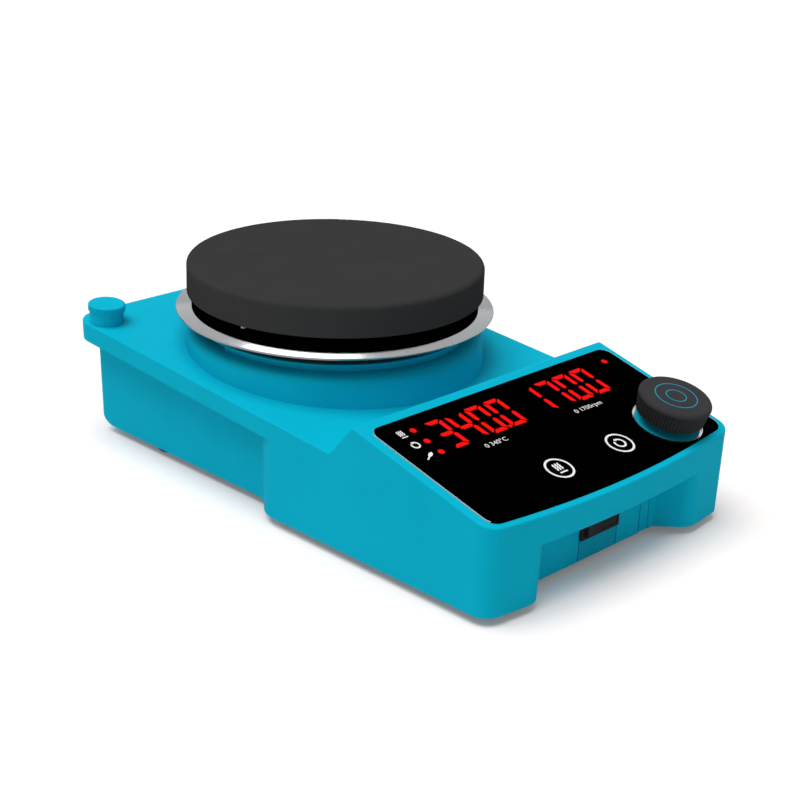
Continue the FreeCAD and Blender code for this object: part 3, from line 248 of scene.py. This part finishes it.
def dress(tree, pattern, broad, colour, shade, roughness, spread, relief):
    """Lets a pattern carry the colour, the roughness and a relief whose depth is in mm.
    Gives back the relief's node."""
    shader = tree.nodes["Principled BSDF"]
    # Both patterns stay mostly between 0.3 and 0.7, and their product between 0.1 and 0.4
    drift = node(tree, "ShaderNodeMath", {0: pattern, 1: broad}, operation="MULTIPLY")
    share = node(tree, "ShaderNodeMapRange", {
        "Value": drift.outputs[0], "From Min": 0.1, "From Max": 0.4})
    tint = node(tree, "ShaderNodeMix", {0: share.outputs[0], 6: linear(colour), 7: linear(shade)},
                data_type="RGBA")
    rough = node(tree, "ShaderNodeMapRange", {
        "Value": pattern, "From Min": 0.3, "From Max": 0.7,
        "To Min": roughness - spread, "To Max": roughness + spread})
    bump = node(tree, "ShaderNodeBump", {
        "Height": pattern, "Distance": relief * MM, "Strength": 1.0})
    tree.links.new(tint.outputs[2], shader.inputs["Base Color"])
    tree.links.new(rough.outputs[0], shader.inputs["Roughness"])
    tree.links.new(bump.outputs[0], shader.inputs["Normal"])
    return bump


def grained(name, colour, shade, grain, roughness, spread=0.05, relief=0.01, pull=(1, 1, 1),
            **shader):
    """A finish with an even grain of that size in mm. pull is how much finer it is on an axis."""
    made, tree = start(name, **shader)
    place = node(tree, "ShaderNodeTexCoord")
    mapped = node(tree, "ShaderNodeMapping", {"Vector": place.outputs["Object"], "Scale": pull})
    fine = node(tree, "ShaderNodeTexNoise", {
        "Vector": mapped.outputs[0], "Scale": 1 / (grain * MM), "Detail": 3.0, "Roughness": 0.6})
    # Slow drift of the colour, 30 grains across
    broad = node(tree, "ShaderNodeTexNoise", {
        "Vector": mapped.outputs[0], "Scale": 1 / (grain * MM * 30), "Detail": 2.0})
    dress(tree, fine.outputs["Fac"], broad.outputs["Fac"], colour, shade, roughness, spread,
          relief)
    return made


def turned(name, colour, shade, centre, lie, pitch, roughness, spread=0.05, relief=0.002, dish=0.0,
           **shader):
    """A finish with fine rings about an axis, as a lathe or a polishing wheel leaves. pitch is in
    mm, centre a point on the axis and lie how the turned face lies. dish is the slope, in degrees,
    by which the face seems to fall away from the axis."""
    made, tree = start(name, **shader)
    place = node(tree, "ShaderNodeTexCoord")
    shifted = node(tree, "ShaderNodeVectorMath", {0: place.outputs["Object"], 1: centre},
                   operation="SUBTRACT")
    laid = node(tree, "ShaderNodeMapping", {"Vector": shifted.outputs[0], "Rotation": lie})
    rings = node(tree, "ShaderNodeTexWave", {
        "Vector": laid.outputs[0], "Scale": math.pi / (10 * pitch * MM), "Distortion": 1.5,
        "Detail": 2.0, "Detail Scale": 2.0}, wave_type="RINGS", rings_direction="Z")
    broad = node(tree, "ShaderNodeTexNoise", {
        "Vector": laid.outputs[0], "Scale": 1 / (pitch * MM * 25), "Detail": 2.0})
    fine = dress(tree, rings.outputs["Fac"], broad.outputs["Fac"], colour, shade, roughness,
                 spread, relief)
    if dish:
        flat = node(tree, "ShaderNodeVectorMath", {0: laid.outputs[0], 1: (1, 1, 0)},
                    operation="MULTIPLY")
        away = node(tree, "ShaderNodeVectorMath", {0: flat.outputs[0]}, operation="LENGTH")
        fall = node(tree, "ShaderNodeMath", {
            0: away.outputs["Value"], 1: -math.tan(math.radians(dish))}, operation="MULTIPLY")
        cone = node(tree, "ShaderNodeBump", {"Height": fall.outputs[0], "Distance": 1.0})
        tree.links.new(cone.outputs[0], fine.inputs["Normal"])
    return made


def glowing(name, colour, shade, strength):
    """Light that shines through the glass, its red wandering in soft blotches 1.2 mm across."""
    made, tree = start(name, Emission_Strength=strength, Roughness=0.4, Specular_IOR_Level=0.0)
    place = node(tree, "ShaderNodeTexCoord")
    blotch = node(tree, "ShaderNodeTexNoise", {
        "Vector": place.outputs["Object"], "Scale": 1 / (1.2 * MM), "Detail": 1.0})
    tint = node(tree, "ShaderNodeMix", {
        0: blotch.outputs["Fac"], 6: linear(colour), 7: linear(shade)}, data_type="RGBA")
    shader = tree.nodes["Principled BSDF"]
    shader.inputs["Base Color"].default_value = linear("#1A0000")
    tree.links.new(tint.outputs[2], shader.inputs["Emission Color"])
    rough = node(tree, "ShaderNodeMapRange", {
        "Value": blotch.outputs["Fac"], "To Min": 0.35, "To Max": 0.5})
    tree.links.new(rough.outputs[0], shader.inputs["Roughness"])
    return made


def finishes(colours):
    """Every finish of the stirrer. Those of the frame go by the name of their record slot."""
    level = (0, 0, 0)
    tilted = panel_turn.inverted().to_euler()
    made = {}
    # Powder coat baked on the housing: an even satin skin with an orange peel 0.9 mm across.
    # The real one shows hardly any sheen, so its specular level is low.
    made["teal_paint"] = grained(
        "teal_powder_coat", colours.housing, "#07B3D0", 0.9, 0.6, 0.05, 0.006,
        IOR=1.5, Specular_IOR_Level=0.02)
    # Ceramic coating fired on the cast plate: matt, with specks 0.5 mm across that break the light
    made["plate_coating"] = grained(
        "fired_plate_coating", colours.plate, "#393939", 0.5, 0.75, 0.08, 0.015,
        IOR=1.5, Specular_IOR_Level=0.0)
    # Heat-proof black paint on pressed steel: dull, with a dry grain 0.4 mm across
    made["black_coating"] = grained(
        "stove_black_paint", "#040404", "#020202", 0.4, 0.7, 0.08, 0.01,
        IOR=1.5, Specular_IOR_Level=0.0)
    # Stainless ring, spun and polished: rings 0.35 mm apart that draw reflections out sideways.
    # It looks slightly coned, so that its front catches the white room and not the black stack.
    made["polished_steel"] = turned(
        "spun_stainless_steel", "#A4A6A8", "#989A9C", plate_axis, level, 0.35, 0.22, 0.05, dish=38,
        Metallic=1.0)
    # The knob's trim ring, turned from the same steel about the knob's own axis
    made["trim_steel"] = turned(
        "turned_trim_steel", "#D8D9DB", "#C9CACD", knob_point, tilted, 0.3, 0.2, 0.06,
        Metallic=1.0)
    # Zinc-plated sheet and screws: a cold grey with a faint rolled grain along the body
    made["steel"] = grained(
        "zinc_plated_steel", "#A9ACB0", "#989B9F", 0.8, 0.38, 0.1, 0.003, (1, 0.15, 1),
        Metallic=1.0)
    # Machined aluminium: cutter marks 0.4 mm apart and a soft grey shine
    made["aluminium"] = grained(
        "machined_aluminium", "#B9BBBE", "#A7A9AC", 0.4, 0.4, 0.08, 0.003, (1, 1, 0.2),
        Metallic=1.0)
    # Black glass, printed black from behind: the photo shows no reflection at all in it,
    # so its specular level is far below that of plain glass
    made["black_glass"] = grained(
        "printed_black_glass", "#000000", "#010101", 6.0, 0.12, 0.03, 0.0005,
        IOR=1.5, Specular_IOR_Level=0.0)
    # Moulded ABS of the knob, spark-eroded mould: a fine matt grain 0.3 mm across
    made["dark_plastic"] = grained(
        "moulded_knob_abs", colours.knob, "#37373A", 0.3, 0.6, 0.06, 0.008,
        IOR=1.46, Specular_IOR_Level=0.02)
    # Glass-filled polyamide of switch and inlet: black, slightly mottled
    made["black_plastic"] = grained(
        "moulded_black_polyamide", "#302E2F", "#292828", 0.5, 0.55, 0.08, 0.01,
        IOR=1.5, Specular_IOR_Level=0.05)
    # Teal ABS of the switch panel, coloured right through, duller than the paint
    made["teal_plastic"] = grained(
        "moulded_teal_abs", "#12A8C6", "#10A0BC", 0.6, 0.6, 0.05, 0.008,
        IOR=1.46, Specular_IOR_Level=0.02)
    # The rod cap's ABS, coloured to go with the paint beside it
    made["cap_plastic"] = grained(
        "moulded_cap_abs", "#08BCDB", "#07B3D0", 0.4, 0.6, 0.05, 0.008,
        IOR=1.46, Specular_IOR_Level=0.02)
    # Clear red polycarbonate of the lamps behind the glass
    made["red_lens"] = grained(
        "red_polycarbonate_lens", "#D81818", "#B81010", 0.8, 0.25, 0.05, 0.004, IOR=1.58)
    # Glass-fibre board under green lacquer: the weave shows through every 0.5 mm
    made["board_green"] = grained(
        "lacquered_fibre_board", "#15562F", "#0F4727", 0.5, 0.35, 0.1, 0.01, IOR=1.5)
    # Glazed steatite of pillars, bead and heater: warm white, with soft pits 0.6 mm across
    made["ceramic"] = grained(
        "glazed_steatite", "#E3DED1", "#D5CFC0", 0.6, 0.35, 0.1, 0.01, IOR=1.6)
    # Turned brass of the contacts: yellow metal with a light tarnish
    made["brass"] = grained(
        "turned_brass", "#C4A254", "#AE8C42", 0.5, 0.35, 0.1, 0.003, Metallic=1.0)
    # Moulded rubber of feet and seal: dead matt, dusty grain 0.4 mm across
    made["rubber"] = grained(
        "moulded_rubber", "#1C1C1D", "#252526", 0.4, 0.85, 0.06, 0.02,
        IOR=1.52, Specular_IOR_Level=0.2)
    # Nickel-plated magnets: bright, with a slightly wavy skin
    made["magnet"] = grained(
        "nickel_plated_magnet", "#BFC0C2", "#AEB0B3", 1.5, 0.2, 0.06, 0.004, Metallic=1.0)
    # Pressed mica board over the heater: flakes 1.2 mm across that glint a little
    made["insulation"] = grained(
        "pressed_mica_board", "#CDC5B4", "#B7AD98", 1.2, 0.6, 0.2, 0.03, IOR=1.58)
    # Enamelled copper wire of the motor's coils, wound 0.6 mm apart
    made["winding"] = grained(
        "enamelled_copper_winding", "#AA5C30", "#84421F", 0.6, 0.35, 0.1, 0.05, (0.2, 0.2, 1),
        Metallic=1.0)
    # White ceramic ink, screen-printed on the glass: even, with a dry edge
    made["white_ink"] = grained(
        "screen_printed_white_ink", "#F6F6F6", "#EAEAEA", 0.2, 0.6, 0.05, 0.002,
        IOR=1.5, Specular_IOR_Level=0.1)
    # Teal ink, pad-printed on the knob's top
    made["teal_ink"] = grained(
        "pad_printed_teal_ink", "#1593AE", "#128AA4", 0.2, 0.6, 0.05, 0.002,
        IOR=1.5, Specular_IOR_Level=0.1)
    # Edge of the panel's glass, ground and clear of the black print behind it, and painted pale as
    # the highlight that its side edges catch
    made["ground_glass"] = grained(
        "ground_glass_edge", "#D9DCDD", "#CBD0D2", 0.3, 0.3, 0.05, 0.002, IOR=1.5)
    # Painted shadow of the thin gaps in the recess, drawn 0.25 mm wide
    made["seam_shadow"] = grained(
        "seam_shadow", "#063A45", "#04303A", 0.4, 0.8, 0.05, 0.005,
        IOR=1.5, Specular_IOR_Level=0.0)
    # Red light-emitting segments seen through smoked glass
    made["red_light"] = glowing("red_segment_light", colours.light, "#F2120F", 1.0)
    return made


def on_panel(x, along, rise=0.0):
    """A point in millimetres across the panel, down it from its rear edge, and above it."""
    shift = Vector((x - KNOB_X, KNOB_ALONG - along, rise)) * MM
    return knob_point + panel_turn @ shift


def raised(name, faces, rise, thickness, material, body):
    """A thin closed piece over the panel. faces are outlines of points (x, along) in mm."""
    bm = bmesh.new()
    for outline in faces:
        bm.faces.new([bm.verts.new(on_panel(x, along, rise + thickness)) for x, along in outline])
    bmesh.ops.remove_doubles(bm, verts=bm.verts, dist=0.005 * MM)
    grown = bmesh.ops.extrude_face_region(bm, geom=bm.faces[:], use_keep_orig=True)
    foot = [v for v in grown["geom"] if isinstance(v, bmesh.types.BMVert)]
    bmesh.ops.translate(bm, verts=foot, vec=panel_normal * -thickness * MM)
    bmesh.ops.recalc_face_normals(bm, faces=bm.faces)
    mesh = bpy.data.meshes.new(name)
    bm.to_mesh(mesh)
    bm.free()
    mesh.materials.append(material)
    piece = bpy.data.objects.new(name, mesh)
    bpy.context.scene.collection.objects.link(piece)
    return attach(piece, body)


def stroke(points, width, closed=False):
    """Outlines of a line of that width through the points (x, along)."""
    count = len(points)
    sides = []
    for i, (x, y) in enumerate(points):
        before = points[(i - 1) % count] if closed or i else points[i]
        after = points[(i + 1) % count] if closed or i < count - 1 else points[i]
        way = Vector((after[0] - before[0], after[1] - before[1])).normalized() * width / 2
        sides.append(((x - way.y, y + way.x), (x + way.y, y - way.x)))
    last = count if closed else count - 1
    return [[sides[i][0], sides[(i + 1) % count][0], sides[(i + 1) % count][1], sides[i][1]]
            for i in range(last)]


def arc(x, along, radius, first=0, sweep=360, steps=48):
    """Points on an arc. Angles are in degrees, from the right and up the panel."""
    turns = [math.radians(first + sweep * i / steps) for i in range(steps + (sweep < 360))]
    return [(x + radius * math.cos(t), along - radius * math.sin(t)) for t in turns]


def heat_icon(x, along, size, line):
    """Three rising waves over a bar. size is the height, in mm."""
    half_bar, apart, sway = 0.36 * size, 0.24 * size, 0.05 * size
    steps, turns = 18, 3
    bar = along + size / 2 - line / 2
    faces = stroke([(x - half_bar, bar), (x + half_bar, bar)], line)
    top, height = along - size / 2, size - 2.4 * line
    for middle in (x - apart, x, x + apart):
        faces += stroke([(middle + sway * math.sin(2 * math.pi * turns * i / steps),
                          top + height * i / steps) for i in range(steps + 1)], line)
    return faces


def stir_icon(x, along, size, line):
    """A circle, open at the upper left, that ends in an arrow head. size is its width, in mm."""
    radius = (size - line) / 2
    first, last = 140, 455
    faces = stroke(arc(x, along, radius, first, last - first, 36), line)
    tip = math.radians(last)
    head = Vector((x + radius * math.cos(tip), along - radius * math.sin(tip)))
    way = Vector((-math.sin(tip), -math.cos(tip)))
    side = Vector((-way.y, way.x))
    faces.append([tuple(head + way * line * 1.2), tuple(head + side * line),
                  tuple(head - side * line)])
    return faces


def probe_icon(x, along, size, line):
    """A slanting probe: thin lead, thick grip, pointed tip. size is its length, in mm."""
    way = Vector((0.85, -0.53))
    side = Vector((-way.y, way.x))
    # Shares of the length where the lead ends, and where the grip begins and ends
    lead, grip, taper = 0.4, 0.55, 0.8
    thin, thick = line * 0.5, line * 1.3
    upper, lower = [], []
    for share, half in ((0.0, thin), (lead, thin), (grip, thick), (taper, thick)):
        point = Vector((x, along)) + way * size * (share - 0.5)
        upper.append(tuple(point - side * half))
        lower.append(tuple(point + side * half))
    tip = tuple(Vector((x, along)) + way * size * 0.5)
    return [[*upper, tip, *reversed(lower)]]


def digit_faces(shown, left, panel):
    """Outlines of the lit segments of a number."""
    height, width, thick = panel.digit_height, panel.digit_width, panel.segment_width
    cut = panel.digit_bevel
    middle = height / 2
    half = thick / 2
    short = 1 - 2 * panel.segment_gap / width

    def flip(outline, across, down):
        """The outline mirrored across the digit, down it, or both ways."""
        return [(width - x if across else x, height - y if down else y) for x, y in outline]

    bar = [(cut, 0), (width - cut, 0), (width - cut / 2, cut / 2), (width - thick, thick),
           (thick, thick), (cut / 2, cut / 2)]
    bar = [(width / 2 + (x - width / 2) * short, y) for x, y in bar]
    post = [(width - cut / 2, cut / 2), (width, cut), (width, middle - half),
            (width - half, middle), (width - thick, middle - half), (width - thick, thick)]
    post = [(x, middle / 2 + (y - middle / 2) * short) for x, y in post]
    core = [(half, middle), (thick, middle - half), (width - thick, middle - half),
            (width - half, middle), (width - thick, middle + half), (thick, middle + half)]
    segments = {
        "a": bar, "b": post, "c": flip(post, False, True), "d": flip(bar, False, True),
        "e": flip(post, True, True), "f": flip(post, True, False), "g": core,
    }
    faces = []
    cell = left
    for sign in shown:
        if sign == ".":
            dot_x = cell - (panel.digit_pitch - width) / 2
            faces.append(arc(dot_x, panel.digit_top + height - half, 0.8 * half, steps=16))
            continue
        for name in SEGMENTS[sign]:
            faces.append([(cell + x, panel.digit_top + y) for x, y in segments[name]])
        cell += panel.digit_pitch
    return faces


class STIRRER_OT_finishes(bpy.types.Operator):
    """Give every piece of the frame its finish"""

    bl_idname = "stirrer.finishes"
    bl_label = "Finishes"

    def execute(self, context):
        finish.update(finishes(context.scene.stirrer_finish))
        for name, piece in nodes.items():
            slot = piece.data.materials[0].name
            if name == "bezel_ring":
                slot = "trim_steel"
            piece.data.materials[0] = finish[slot]
        return {"FINISHED"}


class STIRRER_OT_digits(bpy.types.Operator):
    """Light the digits of both displays and the indicator lamps"""

    bl_idname = "stirrer.digits"
    bl_label = "Lit digits"

    def execute(self, context):
        panel = context.scene.stirrer_panel
        light = (panel.glass_face, panel.ink_thickness, finish["red_light"], "body")
        for name, shown, left in (("temperature_digits", panel.temperature, panel.temperature_x),
                                  ("speed_digits", panel.speed, panel.speed_x)):
            raised(name, digit_faces(shown, left, panel), *light)
        first = panel.lamp_along - panel.lamp_pitch
        spots = [(panel.lamp_x, first + i * panel.lamp_pitch) for i in range(3)]
        spots.append((panel.power_x, first))
        faces = [arc(x, along, panel.lamp_radius, steps=24) for x, along in spots]
        raised("indicator_spots", faces, *light)
        return {"FINISHED"}


class STIRRER_OT_print(bpy.types.Operator):
    """Print the key rings, the icons and the range numbers on the glass"""

    bl_idname = "stirrer.print"
    bl_label = "Panel print"

    def execute(self, context):
        panel = context.scene.stirrer_panel
        ink = (panel.glass_face, panel.ink_thickness, finish["white_ink"], "body")
        line = panel.icon_line
        heat_x, stir_x = panel.key_middle - panel.key_x, panel.key_middle + panel.key_x
        key_along = panel.key_along
        rings = []
        for x in (heat_x, stir_x):
            rings += stroke(arc(x, key_along, panel.key_radius - panel.ring_line / 2, steps=72),
                            panel.ring_line, closed=True)
        raised("key_rings", rings, *ink)
        # Sizes of the icons in the keys, and of those beside the lamps
        heat_size, stir_size = 6.0, 5.9
        icons = heat_icon(heat_x, key_along, heat_size, line)
        icons += stir_icon(stir_x, key_along, stir_size, line * 1.2)
        raised("key_icons", icons, *ink)
        heat_size, stir_size, probe_size = 4.6, 4.3, 6.2
        x, middle, pitch = panel.icon_x, panel.lamp_along, panel.lamp_pitch
        marks = heat_icon(x, middle - pitch, heat_size, line * 0.7)
        marks += stir_icon(x, middle, stir_size, line)
        marks += probe_icon(x, middle + pitch, probe_size, line * 0.8)
        raised("mode_icons", marks, *ink)
        # Each range runs between its own two places across the panel
        self.letter("temperature_range", "0 340°C", -37.6, -24.7, panel)
        self.letter("speed_range", "0 1700rpm", 18.7, 36.1, panel)
        return {"FINISHED"}

    def letter(self, name, words, left, right, panel):
        """Sets a short range between two places across the panel as closed letters."""
        # Capitals of Blender's own letters stand this share of their set size
        capital = 0.7
        line = bpy.data.curves.new(name, "FONT")
        line.body = words
        line.size = panel.text_height / capital * MM
        line.extrude = panel.ink_thickness / 2 * MM
        laid = bpy.data.objects.new(name, line)
        context = bpy.context
        context.scene.collection.objects.link(laid)
        context.view_layer.update()
        graph = context.evaluated_depsgraph_get()
        mesh = bpy.data.meshes.new_from_object(laid.evaluated_get(graph))
        bpy.data.objects.remove(laid)
        reach = max(vertex.co.x for vertex in mesh.vertices)
        mesh.transform(Matrix.Diagonal(((right - left) * MM / reach, 1, 1, 1)))
        rise = panel.glass_face + panel.ink_thickness / 2
        foot = Matrix.Translation(on_panel(left, panel.range_along, rise))
        mesh.transform(foot @ panel_turn.to_4x4())
        mesh.materials.clear()
        mesh.materials.append(finish["white_ink"])
        piece = bpy.data.objects.new(name, mesh)
        context.scene.collection.objects.link(piece)
        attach(piece, "body")


class STIRRER_OT_edges(bpy.types.Operator):
    """Paint a highlight along the glass's side edges and a shadow in the seams of the recess"""

    bl_idname = "stirrer.edges"
    bl_label = "Edges and seams"

    def execute(self, context):
        panel = context.scene.stirrer_panel
        width = panel.edge_width
        half = glass_high.x / MM + width / 2
        # Where the glass's rounded corners begin down its side, and their radii, all in mm
        rear, rear_radius = 10.5, 5.0
        front, front_radius = 69.5, 5.5
        side = arc(half - rear_radius, rear, rear_radius, 60, -60, 8)[:-1]
        side += arc(half - front_radius, front, front_radius, 0, -35, 8)
        faces = stroke(side, width) + stroke([(-x, along) for x, along in side], width)
        # Pale strips of painted highlight along both side edges of the glass
        raised("glass_edge_highlights", faces, 0.0, panel.glass_face, finish["ground_glass"], "body")
        self.seams()
        return {"FINISHED"}

    def seams(self):
        """Thin lines of painted shadow where the switch's insert meets the wall, and at the
        moulded strip.
        """
        # What the insert's clips add to each side of it behind the wall, and the strip's place
        clip, strip_x = 2.0, 29.1
        width, depth, short = 0.25, 0.05, 0.5
        foot, top = insert_low.z / MM + short, insert_high.z / MM - short
        bm = bmesh.new()
        for x in (insert_low.x / MM + clip, insert_high.x / MM - clip, strip_x):
            size = Matrix.Diagonal((width * MM, depth * MM, (top - foot) * MM, 1))
            place = Vector((x * MM, insert_low.y - depth * MM / 2, (foot + top) / 2 * MM))
            bmesh.ops.create_cube(bm, size=1, matrix=Matrix.Translation(place) @ size)
        mesh = bpy.data.meshes.new("recess_seam_shadows")
        bm.to_mesh(mesh)
        bm.free()
        # Dark strips of painted shadow in the recess's gaps
        mesh.materials.append(finish["seam_shadow"])
        piece = bpy.data.objects.new("recess_seam_shadows", mesh)
        bpy.context.scene.collection.objects.link(piece)
        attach(piece, "body")


class STIRRER_OT_knob_rings(bpy.types.Operator):
    """Print the two thin rings on the knob's top"""

    bl_idname = "stirrer.knob_rings"
    bl_label = "Knob rings"

    def execute(self, context):
        panel = context.scene.stirrer_panel
        top = max((v.co - knob_point).dot(panel_normal) for v in nodes["knob"].data.vertices) / MM
        outer, inner, line = 9.2, 4.4, 0.5
        faces = []
        for radius in (outer, inner):
            faces += stroke(arc(KNOB_X, KNOB_ALONG, radius, steps=72), line, closed=True)
        piece = raised("knob_rings", faces, top, panel.ink_thickness, finish["teal_ink"], "knob")
        return {"FINISHED"}


class STIRRER_OT_studio(bpy.types.Operator):
    """Set the pale floor, the soft light and the camera"""

    bl_idname = "stirrer.studio"
    bl_label = "Studio"

    def execute(self, context):
        studio = context.scene.stirrer_studio
        self.floor()
        self.world(context, studio.sky)
        lamp = bpy.data.lights.new("key_light", "SUN")
        lamp.energy = studio.key
        lamp.angle = studio.softness
        key = bpy.data.objects.new("key_light", lamp)
        # The lamp hangs nearly overhead, a little to the left
        key.rotation_euler = Vector((-0.27, 0.08, 0.95)).to_track_quat("Z", "Y").to_euler()
        context.scene.collection.objects.link(key)
        camera = bpy.data.cameras.new("camera")
        camera.lens = studio.focal_length
        camera.sensor_width = 36
        seen = bpy.data.objects.new("camera", camera)
        seen.location = studio.camera_place
        seen.rotation_euler = studio.camera_turn
        context.scene.collection.objects.link(seen)
        context.scene.camera = seen
        context.scene.view_settings.view_transform = "Standard"
        return {"FINISHED"}

    def floor(self):
        """A floor 12 m wide, low enough for the feet to stand on it."""
        half = 6.0
        low = cad_box[0][2]
        mesh = bpy.data.meshes.new("floor")
        corners = [(-half, -half, low), (half, -half, low), (half, half, low), (-half, half, low)]
        mesh.from_pydata(corners, [], [(0, 1, 2, 3)])
        # Matt sweep of painted board, with a faint roller texture 8 mm across. The camera sees a
        # warm white that takes the teal cast out of the shadows, with a faint glow that keeps the
        # lit floor white. A plain grey lights the object from below.
        glow = 0.12
        sweep = grained("matt_white_sweep", "#FDF5F3", "#FCF4F2", 8.0, 0.9, 0.03, 0.0,
                        Specular_IOR_Level=0.0, Emission_Color=(1, 1, 1, 1))
        tree = sweep.node_tree
        shader = tree.nodes["Principled BSDF"]
        path = node(tree, "ShaderNodeLightPath")
        white = shader.inputs["Base Color"].links[0].from_socket
        seen = node(tree, "ShaderNodeMix", {
            0: path.outputs["Is Camera Ray"], 6: linear("#E6E6E6"), 7: white}, data_type="RGBA")
        lift = node(tree, "ShaderNodeMath", {0: path.outputs["Is Camera Ray"], 1: glow},
                    operation="MULTIPLY")
        tree.links.new(seen.outputs[2], shader.inputs["Base Color"])
        tree.links.new(lift.outputs[0], shader.inputs["Emission Strength"])
        mesh.materials.append(sweep)
        piece = bpy.data.objects.new("floor", mesh)
        bpy.context.scene.collection.objects.link(piece)

    def world(self, context, strength):
        """White to the camera and in reflections, and a soft even light on everything else."""
        world = bpy.data.worlds.new("studio")
        world.use_nodes = True
        tree = world.node_tree
        shown = node(tree, "ShaderNodeLightPath")
        seen = node(tree, "ShaderNodeMath", {
            0: shown.outputs["Is Camera Ray"], 1: shown.outputs["Is Glossy Ray"]},
            operation="MAXIMUM")
        seen = node(tree, "ShaderNodeMath", {
            0: seen.outputs[0], 1: shown.outputs["Is Transmission Ray"]}, operation="MAXIMUM")
        level = node(tree, "ShaderNodeMapRange", {
            "Value": seen.outputs[0], "To Min": strength, "To Max": 1.0})
        background = tree.nodes["Background"]
        background.inputs["Color"].default_value = (1, 1, 1, 1)
        tree.links.new(level.outputs[0], background.inputs["Strength"])
        context.scene.world = world


OPERATORS = (STIRRER_OT_finishes, STIRRER_OT_digits, STIRRER_OT_print, STIRRER_OT_edges,
             STIRRER_OT_knob_rings, STIRRER_OT_studio)


class STIRRER_PT_sidebar(bpy.types.Panel):
    """Lists the stirrer's pieces and its studio"""

    bl_idname = "STIRRER_PT_sidebar"
    bl_label = "Hotplate Stirrer"
    bl_space_type = "VIEW_3D"
    bl_region_type = "UI"
    bl_category = "Stirrer"

    def draw(self, context):
        for made in OPERATORS:
            self.layout.operator(made.bl_idname)
        for group in (context.scene.stirrer_panel, context.scene.stirrer_finish,
                      context.scene.stirrer_studio):
            for name in group.bl_rna.properties.keys():
                if name not in ("rna_type", "name"):
                    self.layout.prop(group, name)


CLASSES = (PanelSettings, FinishSettings, StudioSettings, *OPERATORS, STIRRER_PT_sidebar)


def register():
    for made in CLASSES:
        bpy.utils.register_class(made)
    bpy.types.Scene.stirrer_panel = bpy.props.PointerProperty(type=PanelSettings)
    bpy.types.Scene.stirrer_finish = bpy.props.PointerProperty(type=FinishSettings)
    bpy.types.Scene.stirrer_studio = bpy.props.PointerProperty(type=StudioSettings)


def unregister():
    del bpy.types.Scene.stirrer_studio
    del bpy.types.Scene.stirrer_finish
    del bpy.types.Scene.stirrer_panel
    for made in reversed(CLASSES):
        bpy.utils.unregister_class(made)


def main():
    register()
    bpy.ops.stirrer.finishes()
    bpy.ops.stirrer.digits()
    bpy.ops.stirrer.print()
    bpy.ops.stirrer.edges()
    bpy.ops.stirrer.knob_rings()
    bpy.ops.stirrer.studio()


if __name__ == "__main__":
    main()
